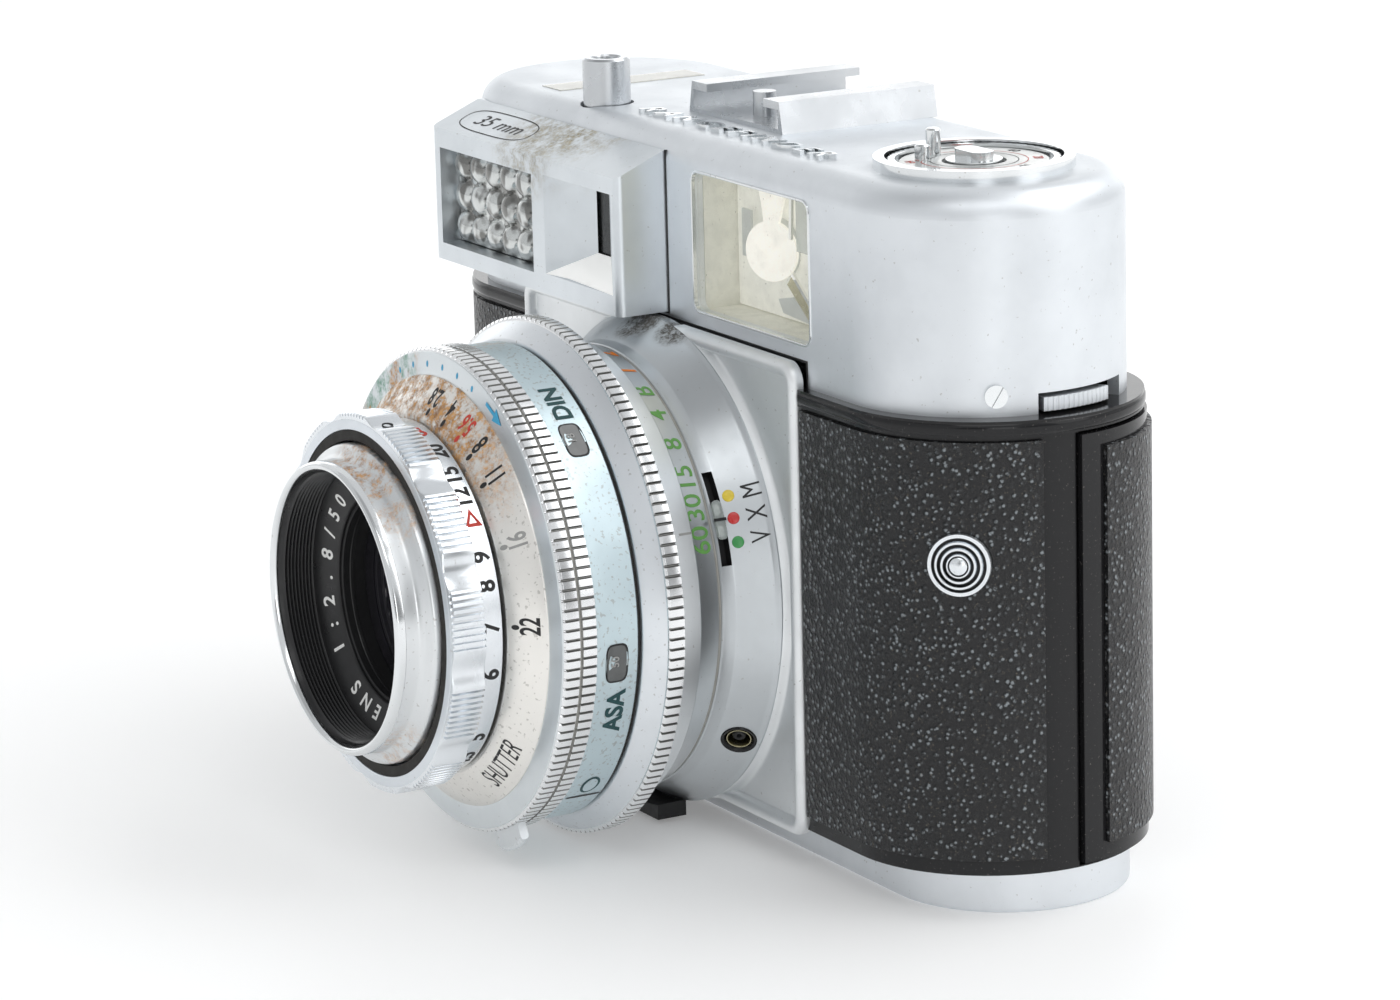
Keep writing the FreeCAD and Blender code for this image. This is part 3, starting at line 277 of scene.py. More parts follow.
def pane(name, colour, alpha, rough=0.03):
    """Thin window: mostly clear, with smears and dust."""
    m = Nodes(name)
    smear = m.ramp(m.noise(0.25, 5.0, 0.7), 0.45, 0.75)
    dust = m.ramp(m.noise(2.5, 3.0, 0.6), 0.66, 0.74)
    film = m.math("ADD", m.times(smear, 0.10), m.times(dust, 0.25))
    m.set(Base_Color=m.mix(m.times(dust, 0.5), colour, (0.55, 0.50, 0.42)),
          Alpha=m.math("ADD", film, alpha), Roughness=m.math("ADD", m.times(smear, 0.06), rough))
    return m.mat


def lens_moulding(name):
    """Moulded glass over a dark plate, with light and dark patches painted into the colour: painted
    reflection and refraction of the lenslets.
    """
    m = Nodes(name)
    # Light and dark patches in the colour: painted reflection and refraction.
    refraction_paint = m.ramp(m.noise(0.75, 1.0, 0.5, (1.0, 1.0, 0.6)), 0.44, 0.58)
    m.set(Base_Color=m.mix(refraction_paint, (0.20, 0.20, 0.19), (0.68, 0.70, 0.69)),
          Roughness=m.ramp(m.noise(2.0), 0.3, 0.7, 0.06, 0.16), Metallic=0.8, Coat_Weight=0.7)
    return m.mat


CHROME_BLUE = (0.79, 0.82, 0.85)
RING_STAINS = (((-3, -45, LENS_Z + 22), 13, 1.2), ((10, -45, LENS_Z + 18), 8, 0.8),
               ((-18, -45, LENS_Z + 12), 9, 1.0))
FACE_STAINS = (((-13, -43, LENS_Z + 22), 7, 1.0), ((-22, -43, LENS_Z + 13), 6, 0.9))
BARREL_STAINS = (((3, -53.6, LENS_Z + 17), 5.5, 1.1), ((10, -54, LENS_Z + 13), 4, 0.7),
                 ((9, -54, LENS_Z - 15), 5, 0.5))

SATIN = metal("satin_chrome", CHROME_BLUE, 0.44, 0.5, 0.010)
SATIN_METER = metal("satin_meter", (0.74, 0.78, 0.81), 0.34, 0.5, 0.010,
                    stain_colours=OLIVE, cover=0.05,
                    stains=(((-22, -17, 73.6), 7, 0.85), ((-13, -16, 74.4), 5, 0.5)))
# Dark patches on the bell just under the meter housing's lower right corner.
BELL = metal("bell_chrome", (0.60, 0.63, 0.65), 0.32, 0.5, 0.010, stain_colours=UNDER_METER_DARK,
              stains=(((-0.7, -18.0, 55.8), 2.8, 1.6), ((5.5, -17.2, 55.6), 2.2, 1.3)), cover=0.1)
TRAY = metal("tray_chrome", (0.86, 0.88, 0.89), 0.50, 0.5, 0.010)
POLISHED = metal("polished_chrome", (0.80, 0.82, 0.83), 0.14, 0.15, 0.003, smudge=0.05)
GREY_CHROME = metal("grey_chrome", (0.60, 0.62, 0.64), 0.27, 0.3, 0.005)
KNURLED = metal("knurled_chrome", (0.86, 0.87, 0.88), 0.20, 0.15, 0.003, smudge=0.05)
# Darker metal for the faces in the knurl grooves: painted shade.
KNURL_GAP_SHADE = metal("knurl_gap_painted_shade", (0.34, 0.34, 0.33), 0.5, 0.15, 0.003)
RING = metal("ring_chrome", (0.74, 0.77, 0.79), 0.32, 0.25, 0.004, smudge=0.06)
RING_FACE = metal("ring_face_chrome", (0.74, 0.78, 0.80), 0.36, 0.3, 0.005, stains=FACE_STAINS,
                  cover=0.04, patina=0.9)
SPEED_CONE = metal("speed_cone_chrome", (0.78, 0.81, 0.84), 0.36, 0.4, 0.006, speckle=0.04)
SCALE = metal("scale_chrome", (0.90, 0.88, 0.84), 0.34, 0.35, 0.006, stains=RING_STAINS,
              cover=0.05, speckle=0.07)
GRIP = metal("grip_chrome", (0.82, 0.85, 0.88), 0.22, 0.25, 0.004)
GRIP_FACE = metal("grip_face_chrome", (0.76, 0.80, 0.84), 0.36, 0.3, 0.004)
BARREL = metal("barrel_chrome", (0.76, 0.78, 0.79), 0.32, 0.3, 0.005, stains=BARREL_STAINS,
               cover=0.02, speckle=0.04)
GREEN_BAND = metal("blue_green_band", (0.60, 0.71, 0.75), 0.36, 0.3, 0.005, speckle=0.10,
                   stains=(((-6, -36, LENS_Z + 25), 6, 0.5),))
BRUSHED = metal("brushed_steel", (0.60, 0.61, 0.62), 0.30, 0.5, 0.006, streak=(1, 1, 0.1))
BRASS = metal("brass", (0.60, 0.55, 0.36), 0.25)
ENAMEL = enamel("black_enamel")
MATT_BLACK = plain("matt_black", (0.010, 0.010, 0.011), 0.5)
GROOVE_BLACK = plain("groove_black", (0.022, 0.020, 0.018), 0.75)
DULL_SEAM = plain("dull_seam", (0.42, 0.41, 0.38), 0.6)
RIDGED = plain("ridged_black", (0.012, 0.012, 0.013), 0.32)
LEATHER = leatherette("leatherette")
CREAM = plain("cream_paint", (0.90, 0.89, 0.80), 0.55)
# The card behind the finder glows: painted light.
CARD_GLOW = plain("card_paint_glow", (0.92, 0.91, 0.84), 0.6, glow=0.22)
# The mask in the finder glows: painted light.
MASK_GLOW = plain("mask_paint_glow", (0.98, 0.95, 0.88), 0.5, glow=0.36)
# Darker copy of the cream with a glow: painted shade with painted light.
CREAM_SHADE_AND_GLOW = plain("cream_painted_shade_glow", (0.58, 0.60, 0.58), 0.5, glow=0.12)
CREAM_WINDOW = pane("readout_glass", (0.88, 0.87, 0.80), 0.68)
INK = plain("ink_black", (0.015, 0.015, 0.016), 0.5)
INK_GREY = plain("ink_grey", (0.36, 0.36, 0.35), 0.5)
INK_RED = plain("ink_red", (0.62, 0.05, 0.03), 0.45)
INK_GREEN = plain("ink_green", (0.16, 0.42, 0.10), 0.45)
INK_ORANGE = plain("ink_orange", (0.88, 0.25, 0.02), 0.45)
INK_BLUE = plain("ink_blue", (0.05, 0.42, 0.70), 0.45)
INK_TEAL = plain("ink_teal", (0.004, 0.055, 0.06), 0.5)
INK_WHITE = plain("ink_white", (0.98, 0.98, 0.96), 0.5)
DOT_YELLOW = plain("dot_yellow", (0.90, 0.68, 0.05), 0.3, coat=0.3)
DOT_RED = plain("dot_red", (0.66, 0.03, 0.03), 0.3, coat=0.3)
DOT_GREEN = plain("dot_green", (0.05, 0.36, 0.09), 0.3, coat=0.3)
WINDOW = pane("window_glass", (0.74, 0.76, 0.68), 0.16)
SLIDER = pane("clear_slider", (0.70, 0.76, 0.74), 0.35, 0.08)
EYE_GLASS = pane("eyepiece_glass", (0.05, 0.06, 0.06), 0.6)
GREY_WINDOW = plain("grey_window", (0.085, 0.09, 0.09), 0.12, coat=0.6)
DARK_WINDOW = plain("dark_window", (0.010, 0.011, 0.011), 0.25)
# Near-white paint with a glow for the recess floor: a painted highlight.
RECESS_HIGHLIGHT = plain("recess_painted_highlight", (0.96, 0.96, 0.94), 0.45, glow=0.30)
FRONT_GLASS = plain("front_glass", (0.010, 0.009, 0.014), 0.03, coat=1.0, depth=0.0)
LENSLET = lens_moulding("cell_glass")
CELL = plain("cell_plate", (0.07, 0.065, 0.06), 0.4)
MIRROR = metal("mirror", (0.90, 0.89, 0.86), 0.05, 0.05, 0.001)
PRISM = plain("prism_glass", (0.70, 0.74, 0.70), 0.05, alpha=0.55, coat=0.6)
DISC_PRINT = metal("disc_print", (0.72, 0.73, 0.72), 0.32)


# ---- mesh helpers ---------------------------------------------------------------------
def place(name, verts, faces, material, body="camera", smooth=True, angle=32):
    mesh = bpy.data.meshes.new(name)
    mesh.from_pydata(verts, [], faces)
    mesh.validate()
    obj = bpy.data.objects.new(name, mesh)
    scene.collection.objects.link(obj)
    mesh.materials.append(material)
    if smooth:
        mesh.shade_smooth()
        mesh.set_sharp_from_angle(angle=math.radians(angle))
    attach(obj, body)
    return obj


def flat(name, verts, material, body="camera"):
    """One flat face over the points."""
    return place(name, verts, [tuple(range(len(verts)))], material, body, smooth=False)


def grid(rows, columns, close_rows=False, close_columns=True, first=0):
    """Faces between the neighbours of a grid of points; each way round may close on itself."""
    faces = []
    for row in range(rows if close_rows else rows - 1):
        here, there = first + row * columns, first + (row + 1) % rows * columns
        for i in range(columns if close_columns else columns - 1):
            j = (i + 1) % columns
            faces.append((here + i, here + j, there + j, there + i))
    return faces


def bar_faces(sections, corners):
    """Faces of a bar of so many sections, each with so many corners, closed at both ends."""
    last = range((sections - 1) * corners, sections * corners)
    return grid(sections, corners) + [tuple(range(corners)), tuple(reversed(last))]


def softened(profile, size):
    """Closed profile with every corner cut back into two points."""
    result = []
    count = len(profile)
    for i in range(count):
        here = Vector(profile[i][:2])
        knurl = profile[i][2] if len(profile[i]) > 2 else 0.0
        for other in (profile[i - 1], profile[(i + 1) % count]):
            step = Vector(other[:2]) - here
            reach = min(size, step.length * 0.4)
            point = here + step.normalized() * reach
            result.append((point.x, point.y, knurl))
    return result


TOOTH_POINTS = 10  # points round the ring for each knurl tooth
GAP_POINTS = 2  # of which this many lie in the groove


def rings_of(rows, sides):
    """Points of rings round the lens axis, from (y, radius) rows."""
    return [round_lens(r, turn, y) for y, r in rows for turn in circle(sides)]


RING_SEGMENTS = 288  # round a ring without teeth


def turned(name, profile, material, body, teeth=0, soft=0.12):
    """Ring turned about the lens axis from (y, radius, knurl depth) points, in millimetres."""
    points = softened(profile, soft)
    segments = teeth * TOOTH_POINTS or RING_SEGMENTS
    verts = []
    for y, r, knurl in points:
        for i, turn in enumerate(circle(segments)):
            radius = r
            if knurl and i % TOOTH_POINTS < GAP_POINTS:
                radius -= knurl
            verts.append(round_lens(radius, turn, y))
    rows = len(points)
    ring = place(name, verts, grid(rows, segments, True), material, body)
    # With teeth, the faces in the grooves get the darker metal: painted shade.
    if teeth:
        ring.data.materials.append(KNURL_GAP_SHADE)
        for face in ring.data.polygons:
            row, column = divmod(face.index, segments)
            cut = points[row][2] and points[(row + 1) % rows][2]
            if cut and (column + 1) % TOOTH_POINTS <= GAP_POINTS:
                face.material_index = 1
    return ring


def text_points(words, size, shear=0.0, bold=0.0, spacing=1.0):
    """Flat outline mesh of generic words, centred, in millimetres."""
    curve = bpy.data.curves.new("words", "FONT")
    curve.body = words
    curve.size = size
    curve.shear = shear
    curve.offset = bold
    curve.space_character = spacing
    curve.align_x = "CENTER"
    curve.align_y = "CENTER"
    curve.resolution_u = 4
    holder = bpy.data.objects.new("words", curve)
    scene.collection.objects.link(holder)
    bpy.context.view_layer.update()
    mesh = bpy.data.meshes.new_from_object(holder)
    verts = [tuple(v.co) for v in mesh.vertices]
    faces = [tuple(p.vertices) for p in mesh.polygons]
    bpy.data.objects.remove(holder)
    bpy.data.curves.remove(curve)
    bpy.data.meshes.remove(mesh)
    return verts, faces


LIFT = 0.03  # how far print stands off its surface


def ring_words(name, words, size, angle, y, radius_at, material, body, bold=0.06, stretch=1.0):
    """Words on a ring: read toward rising angle, with their tops toward the front."""
    verts, faces = text_points(words, size, bold=bold)
    out = []
    for u, v, _ in verts:
        depth = y - v
        radius = radius_at(depth) + LIFT
        turn = math.radians(angle) + u * stretch / radius
        out.append(round_lens(radius, turn, depth))
    return place(name, out, faces, material, body, smooth=False)


def face_letter(name, letter, size, angle, radius, depth_at, material, body, bold=0.05, stretch=1.0):
    """One letter on a ring that faces forward, with its top outward."""
    verts, faces = text_points(letter, size, bold=bold)
    out = []
    for u, v, _ in verts:
        turn = math.radians(angle) - u * stretch / radius
        r = radius + v
        out.append(round_lens(r, turn, depth_at(r) - LIFT))
    return place(name, out, faces, material, body, smooth=False)


def pushed_out(value, power):
    """A sine or cosine brought nearer to -1 or 1, which squares up a round outline."""
    return math.copysign(abs(value) ** power, value)


def ring_patch(name, angle, y, width, length, radius_at, material, body, lift=LIFT, corner=0.5):
    """Small printed mark on a ring; width runs round it, length along the axis."""
    verts = []
    for turn in circle(24):
        u = width / 2 * pushed_out(math.cos(turn), corner)
        v = length / 2 * pushed_out(math.sin(turn), corner)
        radius = radius_at(y + v) + lift
        swing = math.radians(angle) + u / radius
        verts.append(round_lens(radius, swing, y + v))
    return flat(name, verts, material, body)


def paint(material, *names):
    for name in names:
        obj = nodes[name]
        obj.data.materials.clear()
        obj.data.materials.append(material)
        obj.data.shade_smooth()
        obj.data.set_sharp_from_angle(angle=math.radians(28))


def edge(name, width):
    """Small rounded edges on a CAD piece."""
    bevel = nodes[name].modifiers.new("edge", "BEVEL")
    bevel.width = width * MM
    bevel.segments = 2
    bevel.limit_method = "ANGLE"
    bevel.angle_limit = math.radians(30)
    bevel.harden_normals = True


# ---- CAD pieces that are shown as they are ---------------------------------------------
paint(SATIN, "top_housing", "base_plate", "rewind_release", "advance_lever", "latch_key")
paint(SATIN_METER, "meter_housing")
paint(POLISHED, "dial_bezel", "rewind_knob", "housing_screws")
paint(GREY_CHROME, "shoe_stop_pin", "accessory_shoe")
paint(ENAMEL, "body_casting", "back_door")
paint(LEATHER, "front_leather_right", "front_leather_left", "door_leather")
paint(BRUSHED, "film_gate", "tripod_bush", "hinge_pin", "rewind_shaft", "sprocket", "pressure_spring")
for index in range(5):
    paint(BRUSHED, "aperture_blade_%d" % (index + 1))
paint(MATT_BLACK, "shutter_housing", "rear_lens", "pressure_plate", "takeup_spool", "meter_needle",
      "counter_housing", "eyepiece_frame")
paint(CELL, "meter_cell")
paint(CREAM, "finder_cage", "meter_scale_plate")
paint(PRISM, "beam_splitter")
paint(EYE_GLASS, "eyepiece_glass")
paint(DARK_WINDOW, "rangefinder_window")
paint(CREAM_WINDOW, "meter_readout_window")


# ---- lens rings -----------------------------------------------------------------------
KNURL_TEETH, KNURL_R, KNURL_DEEP = 156, 26.64, 0.28
SPEED_TEETH, SPEED_KNURL_R, SPEED_KNURL_DEEP = 160, 28.65, 0.34
BORE_R = 22.4  # inside of the rings that turn round the shutter
FOCUS_BORE_R = 16.6  # inside of the rings in front of it
BAND_R = 26.24  # film speed band


def hoop(back, front, inner, outer, knurl=0.0):
    """Square profile of a plain ring, for turned()."""
    return [(back, inner), (back, outer, knurl), (front, outer, knurl), (front, inner)]


def straight(radius):
    return lambda y: radius


def cone(y0, r0, y1, r1):
    return lambda y: r0 + (r1 - r0) * (y - y0) / (y1 - y0)


def speed_ring():
    body = "speed_ring_body"
    scale_back, scale_front = (-23.55, 24.7), (-26.4, 25.2)
    collar_r, knurl_y = 26.1, -29.9
    band = turned("speed_scale_ring",
                  [(scale_back[0], 22.35), scale_back, scale_front, (-26.5, collar_r),
                   (knurl_y, collar_r), (knurl_y, 22.35)], RING, body)
    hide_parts("speed_ring")
    turned("speed_knurl",
           [(knurl_y, BORE_R), (knurl_y, SPEED_KNURL_R, SPEED_KNURL_DEEP),
            (-31.6, SPEED_KNURL_R, SPEED_KNURL_DEEP), (-31.8, 28.3), (-31.8, BORE_R)],
           KNURLED, body, teeth=SPEED_TEETH, soft=0.06)
    turned("speed_cone", [(-31.7, BORE_R), (-31.7, 28.25), (-33.85, 26.45), (-33.85, BORE_R)],
           SPEED_CONE, body)
    radius_at = cone(*scale_back, *scale_front)
    fast = (("60", 18.2), ("30", 26.4), ("15", 34.2), ("8", 43.8), ("4", 52.9), ("B", 61.5))
    slow = (("1", 70.8), ("2", 81.3), ("4", 93.0), ("8", 104.0))
    for numbers, ink, bold in ((fast, INK_GREEN, 0.03), (slow, INK_ORANGE, 0.07)):
        for words, angle in numbers:
            ring_words("speed_%s_%d" % (words, angle), words, 3.2, angle, -24.95, radius_at, ink,
                       body, bold)
    ring_patch("speed_index", 20.2, -27.4, 0.26, 1.5, straight(collar_r), INK_GREY, body,
               corner=0.2)


def film_speed_ring():
    body = "film_speed_body"
    band = turned("film_speed_band", hoop(-34.25, -39.35, BORE_R, BAND_R), GREEN_BAND, body)
    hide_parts("film_speed_ring")
    turned("film_speed_knurl", hoop(-39.35, -41.0, BORE_R, KNURL_R, KNURL_DEEP), KNURLED, body,
           teeth=KNURL_TEETH, soft=0.05)
    turned("film_speed_seam", hoop(-33.9, -34.25, BORE_R, 25.95), GROOVE_BLACK, body, soft=0.03)
    turned("film_speed_lip", hoop(-41.0, -41.3, BORE_R, 26.25), DULL_SEAM, body, soft=0.03)
    radius_at = straight(BAND_R)
    for words, angle in (("DIN", 58.8), ("ASA", -20.1), ("DIN", 178.0), ("ASA", 252.0)):
        ring_words("film_%s_%d" % (words, angle), words, 2.9, angle, -36.5, radius_at, INK_TEAL, body,
                   bold=0.09)
    for angle in (47.2, -7.4, 192.0, 240.0):
        ring_patch("film_frame_%d" % angle, angle, -36.8, 4.4, 2.7, radius_at, MATT_BLACK, body)
        ring_patch("film_window_%d" % angle, angle, -36.85, 4.0, 2.35, radius_at, GREY_WINDOW, body,
                   lift=0.05)
        ring_words("film_value_%d" % angle, "18" if angle > 0 else "50", 1.3, angle + 0.4, -37.0,
                   straight(26.28), INK_GREY, body, bold=0.02)
    ring_patch("film_ring_mark_outer", -45.2, -36.5, 3.2, 2.2, radius_at, INK_TEAL, body, corner=1.0)
    ring_patch("film_ring_mark_inner", -45.2, -36.5, 2.6, 1.6, radius_at, GREEN_BAND, body, 0.05, 1.0)
    ring_patch("film_line_mark", -50.5, -36.5, 0.4, 4.2, radius_at, INK, body)


def aperture_ring():
    body = "aperture_body"
    wide, narrow = (-43.65, 23.7), (-46.45, 19.8)
    radius_at = cone(*wide, *narrow)
    cone_ring = turned("aperture_scale",
                       [(-42.6, FOCUS_BORE_R), (-42.6, 23.6), wide, narrow, (narrow[0], FOCUS_BORE_R)],
                       SCALE, body, soft=0.08)
    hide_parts("aperture_ring")
    turned("aperture_face", [(-42.4, 23.0), (-43.0, 26.3), (-43.3, 26.2), (-43.55, 23.9),
                             (-43.4, 23.0)], RING_FACE, body, soft=0.05)
    turned("aperture_knurl",
           [(-41.35, BORE_R), (-41.35, KNURL_R, KNURL_DEEP), (-42.9, KNURL_R, KNURL_DEEP),
            (-43.2, 26.3), (-42.6, BORE_R)], KNURLED, body, teeth=KNURL_TEETH, soft=0.05)
    stops = (("22", 2.5, INK, 2.0), ("16", 26.3, INK_GREY, 1.9), ("11", 46.7, INK, 1.9),
             ("8", 57.8, INK, 1.9), ("5.6", 66.5, INK_RED, 1.7), ("4", 76.0, INK, 1.7),
             ("2.8", 86.0, INK, 1.7))
    for words, angle, ink, size in stops:
        ring_words("stop_" + words, words, size, angle, -44.8, radius_at, ink, body, bold=0.04)
        ring_patch("stop_dot_" + words, angle - 0.5, -45.9, 0.55, 0.55, radius_at, ink, body,
                   corner=1.0)
    ring_words("shutter_word", "SHUTTER", 2.0, -47.0, -45.0, radius_at, INK, body, bold=0.0)
    for angle in (72.6, 80.7, 88.8, 97.2, 105.4, 113.5):
        field_dot(angle, body)
    face_arrow(body)
    finger_tab(body)


def field_dot(angle, body):
    """Blue depth of field dot on the leaning forward face of the aperture ring."""
    radius, width, height = 24.9, 0.24, 0.36
    verts = []
    for turn in circle(14):
        swing = math.radians(angle) + width * math.cos(turn) / radius
        r = radius + height * math.sin(turn)
        verts.append(round_lens(r, swing, -43.56 + (r - 24.0) * 0.12))
    flat("field_dot_%d" % angle, verts, INK_BLUE, body)


def face_arrow(body):
    """Blue arrow that points down the aperture scale."""
    outline = ((-1.9, 0.22), (0.1, 0.22), (0.1, 0.8), (1.9, 0.0), (0.1, -0.8), (0.1, -0.22),
               (-1.9, -0.22))
    verts = []
    for u, v in outline:
        r = 25.15 + v
        turn = math.radians(60.5) - u / r
        y = -43.55 + (r - 23.9) * 0.12
        verts.append(round_lens(r, turn, y - 2 * LIFT))
    flat("set_arrow", verts, INK_BLUE, body)


def finger_tab(body):
    """Ribbed finger tab under the aperture ring."""
    tip = 29.0
    verts = []
    columns = 44
    profile = ((-41.6, 25.8), (-41.6, tip - 0.3), (-41.9, tip), (-42.4, tip), (-42.6, tip - 0.3),
               (-42.6, 25.8))
    for i in range(columns + 1):
        share = i / columns
        turn = math.radians(-73 + 12 * share)
        rib = 0.22 if i % 4 < 2 and 0 < i < columns else 0.0
        fade = 0.5 * (abs(share * 2 - 1) ** 3)
        for y, r in profile:
            radius = r if r < 26 else r - rib - fade
            verts.append(round_lens(radius, turn, y))
    place("finger_tab", verts, bar_faces(columns + 1, len(profile)), RING, body)


def focus_ring():
    body = "focus_body"
    scale_r = 19.45
    radius_at = straight(scale_r)
    band = turned("focus_scale", hoop(-46.8, -49.35, FOCUS_BORE_R, scale_r), GRIP, body, soft=0.08)
    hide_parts("focus_ring")
    numbers = (("∞", 78.5), ("20", 65.5), ("15", 54.0), ("12", 45.0), ("9", 24.6), ("8", 15.4),
               ("7", 2.2), ("6", -13.3), ("5", -39.0), ("4.5", -52.3), ("4", -66.0), ("3.5", -82.0))
    for words, angle in numbers:
        ring_words("feet_" + words.replace("∞", "far"), words, 2.6, angle, -48.05, radius_at,
                   INK_RED if words == "∞" else INK, body, bold=0.07)
    triangle("focus_triangle", 37.5, radius_at, body)
    grip(body)
    groove = turned("groove_band", hoop(-52.3, -53.15, 17.75, 18.9), GROOVE_BLACK, body, soft=0.05)
    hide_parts("groove_ring")


def on_ring(angle, y, radius):
    """Point round the lens axis in body millimetres; angle from +X toward up."""
    turn = math.radians(angle)
    return (radius * math.cos(turn), y, LENS_Z + radius * math.sin(turn))


def triangle(name, angle, radius_at, body):
    """Small outlined red triangle on the focusing scale."""
    outer = ((-1.0, 1.0), (-1.0, -1.0), (1.1, 0.0))
    inner = ((-0.6, 0.45), (-0.6, -0.45), (0.4, 0.0))
    verts = []
    for u, v in outer + inner:
        radius = radius_at(0) + LIFT
        turn = math.radians(angle) + u / radius
        verts.append(round_lens(radius, turn, -48.0 + v))
    faces = [(0, 1, 4, 3), (1, 2, 5, 4), (2, 0, 3, 5)]
    place(name, verts, faces, INK_RED, body, smooth=False)


HOLLOW_ANGLE = 21.0  # one hollow of the grip; the screw sits in another


def grip(body):
    """Scalloped focusing grip with fine ribs on its lobes."""
    lobes = 12
    outer, dip = 20.8, 0.55
    segments = 1440
    rows = ((-49.3, 0.0), (-49.3, 0.86), (-49.45, 1.0), (-53.0, 1.0), (-53.2, 0.93), (-53.2, 0.0))
    verts = []
    for y, share in rows:
        for i in range(segments):
            degrees = 360.0 * i / segments
            phase = ((degrees - HOLLOW_ANGLE) / (360.0 / lobes)) % 1.0
            across = abs(phase - 0.5) * 2
            hollow = max(0.0, (across - 0.56) / 0.44)
            radius = outer - dip * math.sin(hollow * math.pi / 2) ** 2
            ribs = across < 0.56
            if ribs and i % 8 < 3:
                radius -= 0.3
            inside = 18.95
            r = inside + (radius - inside) * share
            turn = math.radians(degrees)
            verts.append(round_lens(r, turn, y))
    place("focus_grip", verts, grid(len(rows), segments, True), GRIP, body)
    turned("focus_face", [(-50.1, 17.95), (-50.1, 19.4), (-53.2, 20.1), (-53.24, 19.9), (-53.24, 18.95),
                          (-52.4, 18.9), (-52.4, 17.95)], GRIP_FACE, body, soft=0.04)
    screw = HOLLOW_ANGLE + 60
    seat = on_ring(screw, -51.5, 20.4)
    axis = (math.cos(math.radians(screw)), 0, math.sin(math.radians(screw)))
    small_turned("grip_screw", seat, axis, ((-0.3, 0.62), (0.0, 0.62), (-0.04, 0.5), (-0.35, 0.4),
                                            (-0.4, 0.0)), MATT_BLACK, body, 24)


NAME_IN = (-51.35, 11.6)  # sloping name ring: y and radius of its two edges
NAME_OUT = (-52.7, 14.6)
LETTER_PITCH = 12.0


def front_barrel():
    body = "front_cell"
    shell = turned("barrel_shell",
                   [(-50.9, 14.0), (-50.9, 17.5), (-53.7, 17.5), (-54.0, 17.25), (-54.35, 16.5),
                    (-54.9, 16.0), (-56.6, 15.9), (-56.6, 15.0), (-50.9, 15.0)],
                   BARREL, body, soft=0.15)
    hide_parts("front_barrel")
    turned("barrel_rim", [(-56.4, 15.1), (-56.4, 16.0), (-57.2, 16.0), (-57.5, 15.8), (-57.6, 15.5),
                          (-57.4, 15.15), (-56.9, 15.0)], POLISHED, body, soft=0.08)
    turned("barrel_sleeve", hoop(-43.0, -50.9, 11.1, 14.0), MATT_BLACK, body)
    ridged_wall(body)
    name_ring(body)
    glass = dome("front_glass", 11.0, -49.3, 1.1, FRONT_GLASS, body)
    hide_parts("front_lens")


def ridged_wall(body):
    """Ridged black wall inside the barrel."""
    ridge = 0.42
    profile = [(-50.4, 14.98)]
    for i in range(9):
        y = NAME_OUT[0] - 0.1 - ridge * i
        profile += [(y, 14.55), (y - ridge / 2, 14.8)]
    profile += [(-56.9, 14.98)]
    lining = turned("barrel_ridges", profile, RIDGED, body, soft=0.04)
    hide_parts("barrel_lining")


def name_ring(body):
    """Sloping ring round the glass, with generic words where a maker's would be."""
    slope = [(-49.45, 11.05), (-49.9, 11.02), (-50.2, 11.25), (-50.5, 11.2), (-50.8, 11.45), (-51.1, 11.4),
             NAME_IN, NAME_OUT, (-49.45, 14.9)]
    turned("name_ring", slope, RIDGED, body, soft=0.04)
    face_at = cone(NAME_IN[1], NAME_IN[0], NAME_OUT[1], NAME_OUT[0])
    words = "COATED LENS 1:2.8/50"
    for i, letter in enumerate(reversed(words)):
        if letter != " ":
            face_letter("lens_letter_%d" % i, letter, 2.0, 131.5 + LETTER_PITCH * i, 12.75, face_at,
                        INK_WHITE, body, 0.05, 1.2)


def dome(name, radius, y, rise, material, body):
    """Shallow glass dome facing forward, apex at y."""
    rings, sides = 14, 96
    rows = [(y + rise * (k / rings) ** 2, radius * k / rings) for k in range(1, rings + 1)]
    verts = [at(0, y, LENS_Z)] + rings_of(rows, sides)
    faces = [(0, 1 + (i + 1) % sides, 1 + i) for i in range(sides)]
    faces += grid(rings, sides, first=1)
    return place(name, verts, faces, material, body)


# ---- lens panel -----------------------------------------------------------------------
PANEL_LOW = low("mount_plate")
PANEL_HIGH = high("mount_plate")
PANEL_Z = (4.0, 56.1)  # lower and upper edge
PANEL_BACK = PANEL_HIGH.y
RIM_Y = PANEL_BACK - 1.2  # front of the raised rim
TRAY_Y = RIM_Y + 0.95  # sunk corners
RIM_HALF = 0.85  # half the width of the rim
CORNER_R = 2.2
BELL_R = 27.3  # bell at the panel
CONE_R, CONE_Y = 24.85, -21.7  # where its cone meets the neck
NECK_R, NECK_Y = 24.7, PANEL_LOW.y  # front of the neck
SLOT_FRONT, SLOT_FLOOR_R = -22.9, 23.7  # slot of the synchroniser
SLOT_ANGLES = (11.0, 35.0)
SOCKET_ANGLE, SOCKET_Y, SOCKET_R = -37.3, -19.37, 2.0  # flash socket


def bell_radius(y):
    """Outside of the bell at a depth: a cone, then a short neck."""
    if y < CONE_Y:
        return NECK_R + (CONE_R - NECK_R) * (y - NECK_Y) / (CONE_Y - NECK_Y)
    return CONE_R + (BELL_R - CONE_R) * (y - CONE_Y) / (RIM_Y - CONE_Y)


def on_bell(angle, y):
    """Point on the bell, in body millimetres."""
    return Vector(on_ring(angle, y, bell_radius(y)))


def bell_normal(angle):
    """Outward direction of the cone."""
    turn = math.radians(angle)
    fall, run = BELL_R - CONE_R, RIM_Y - CONE_Y
    return Vector((run * math.cos(turn), -fall, run * math.sin(turn))).normalized()


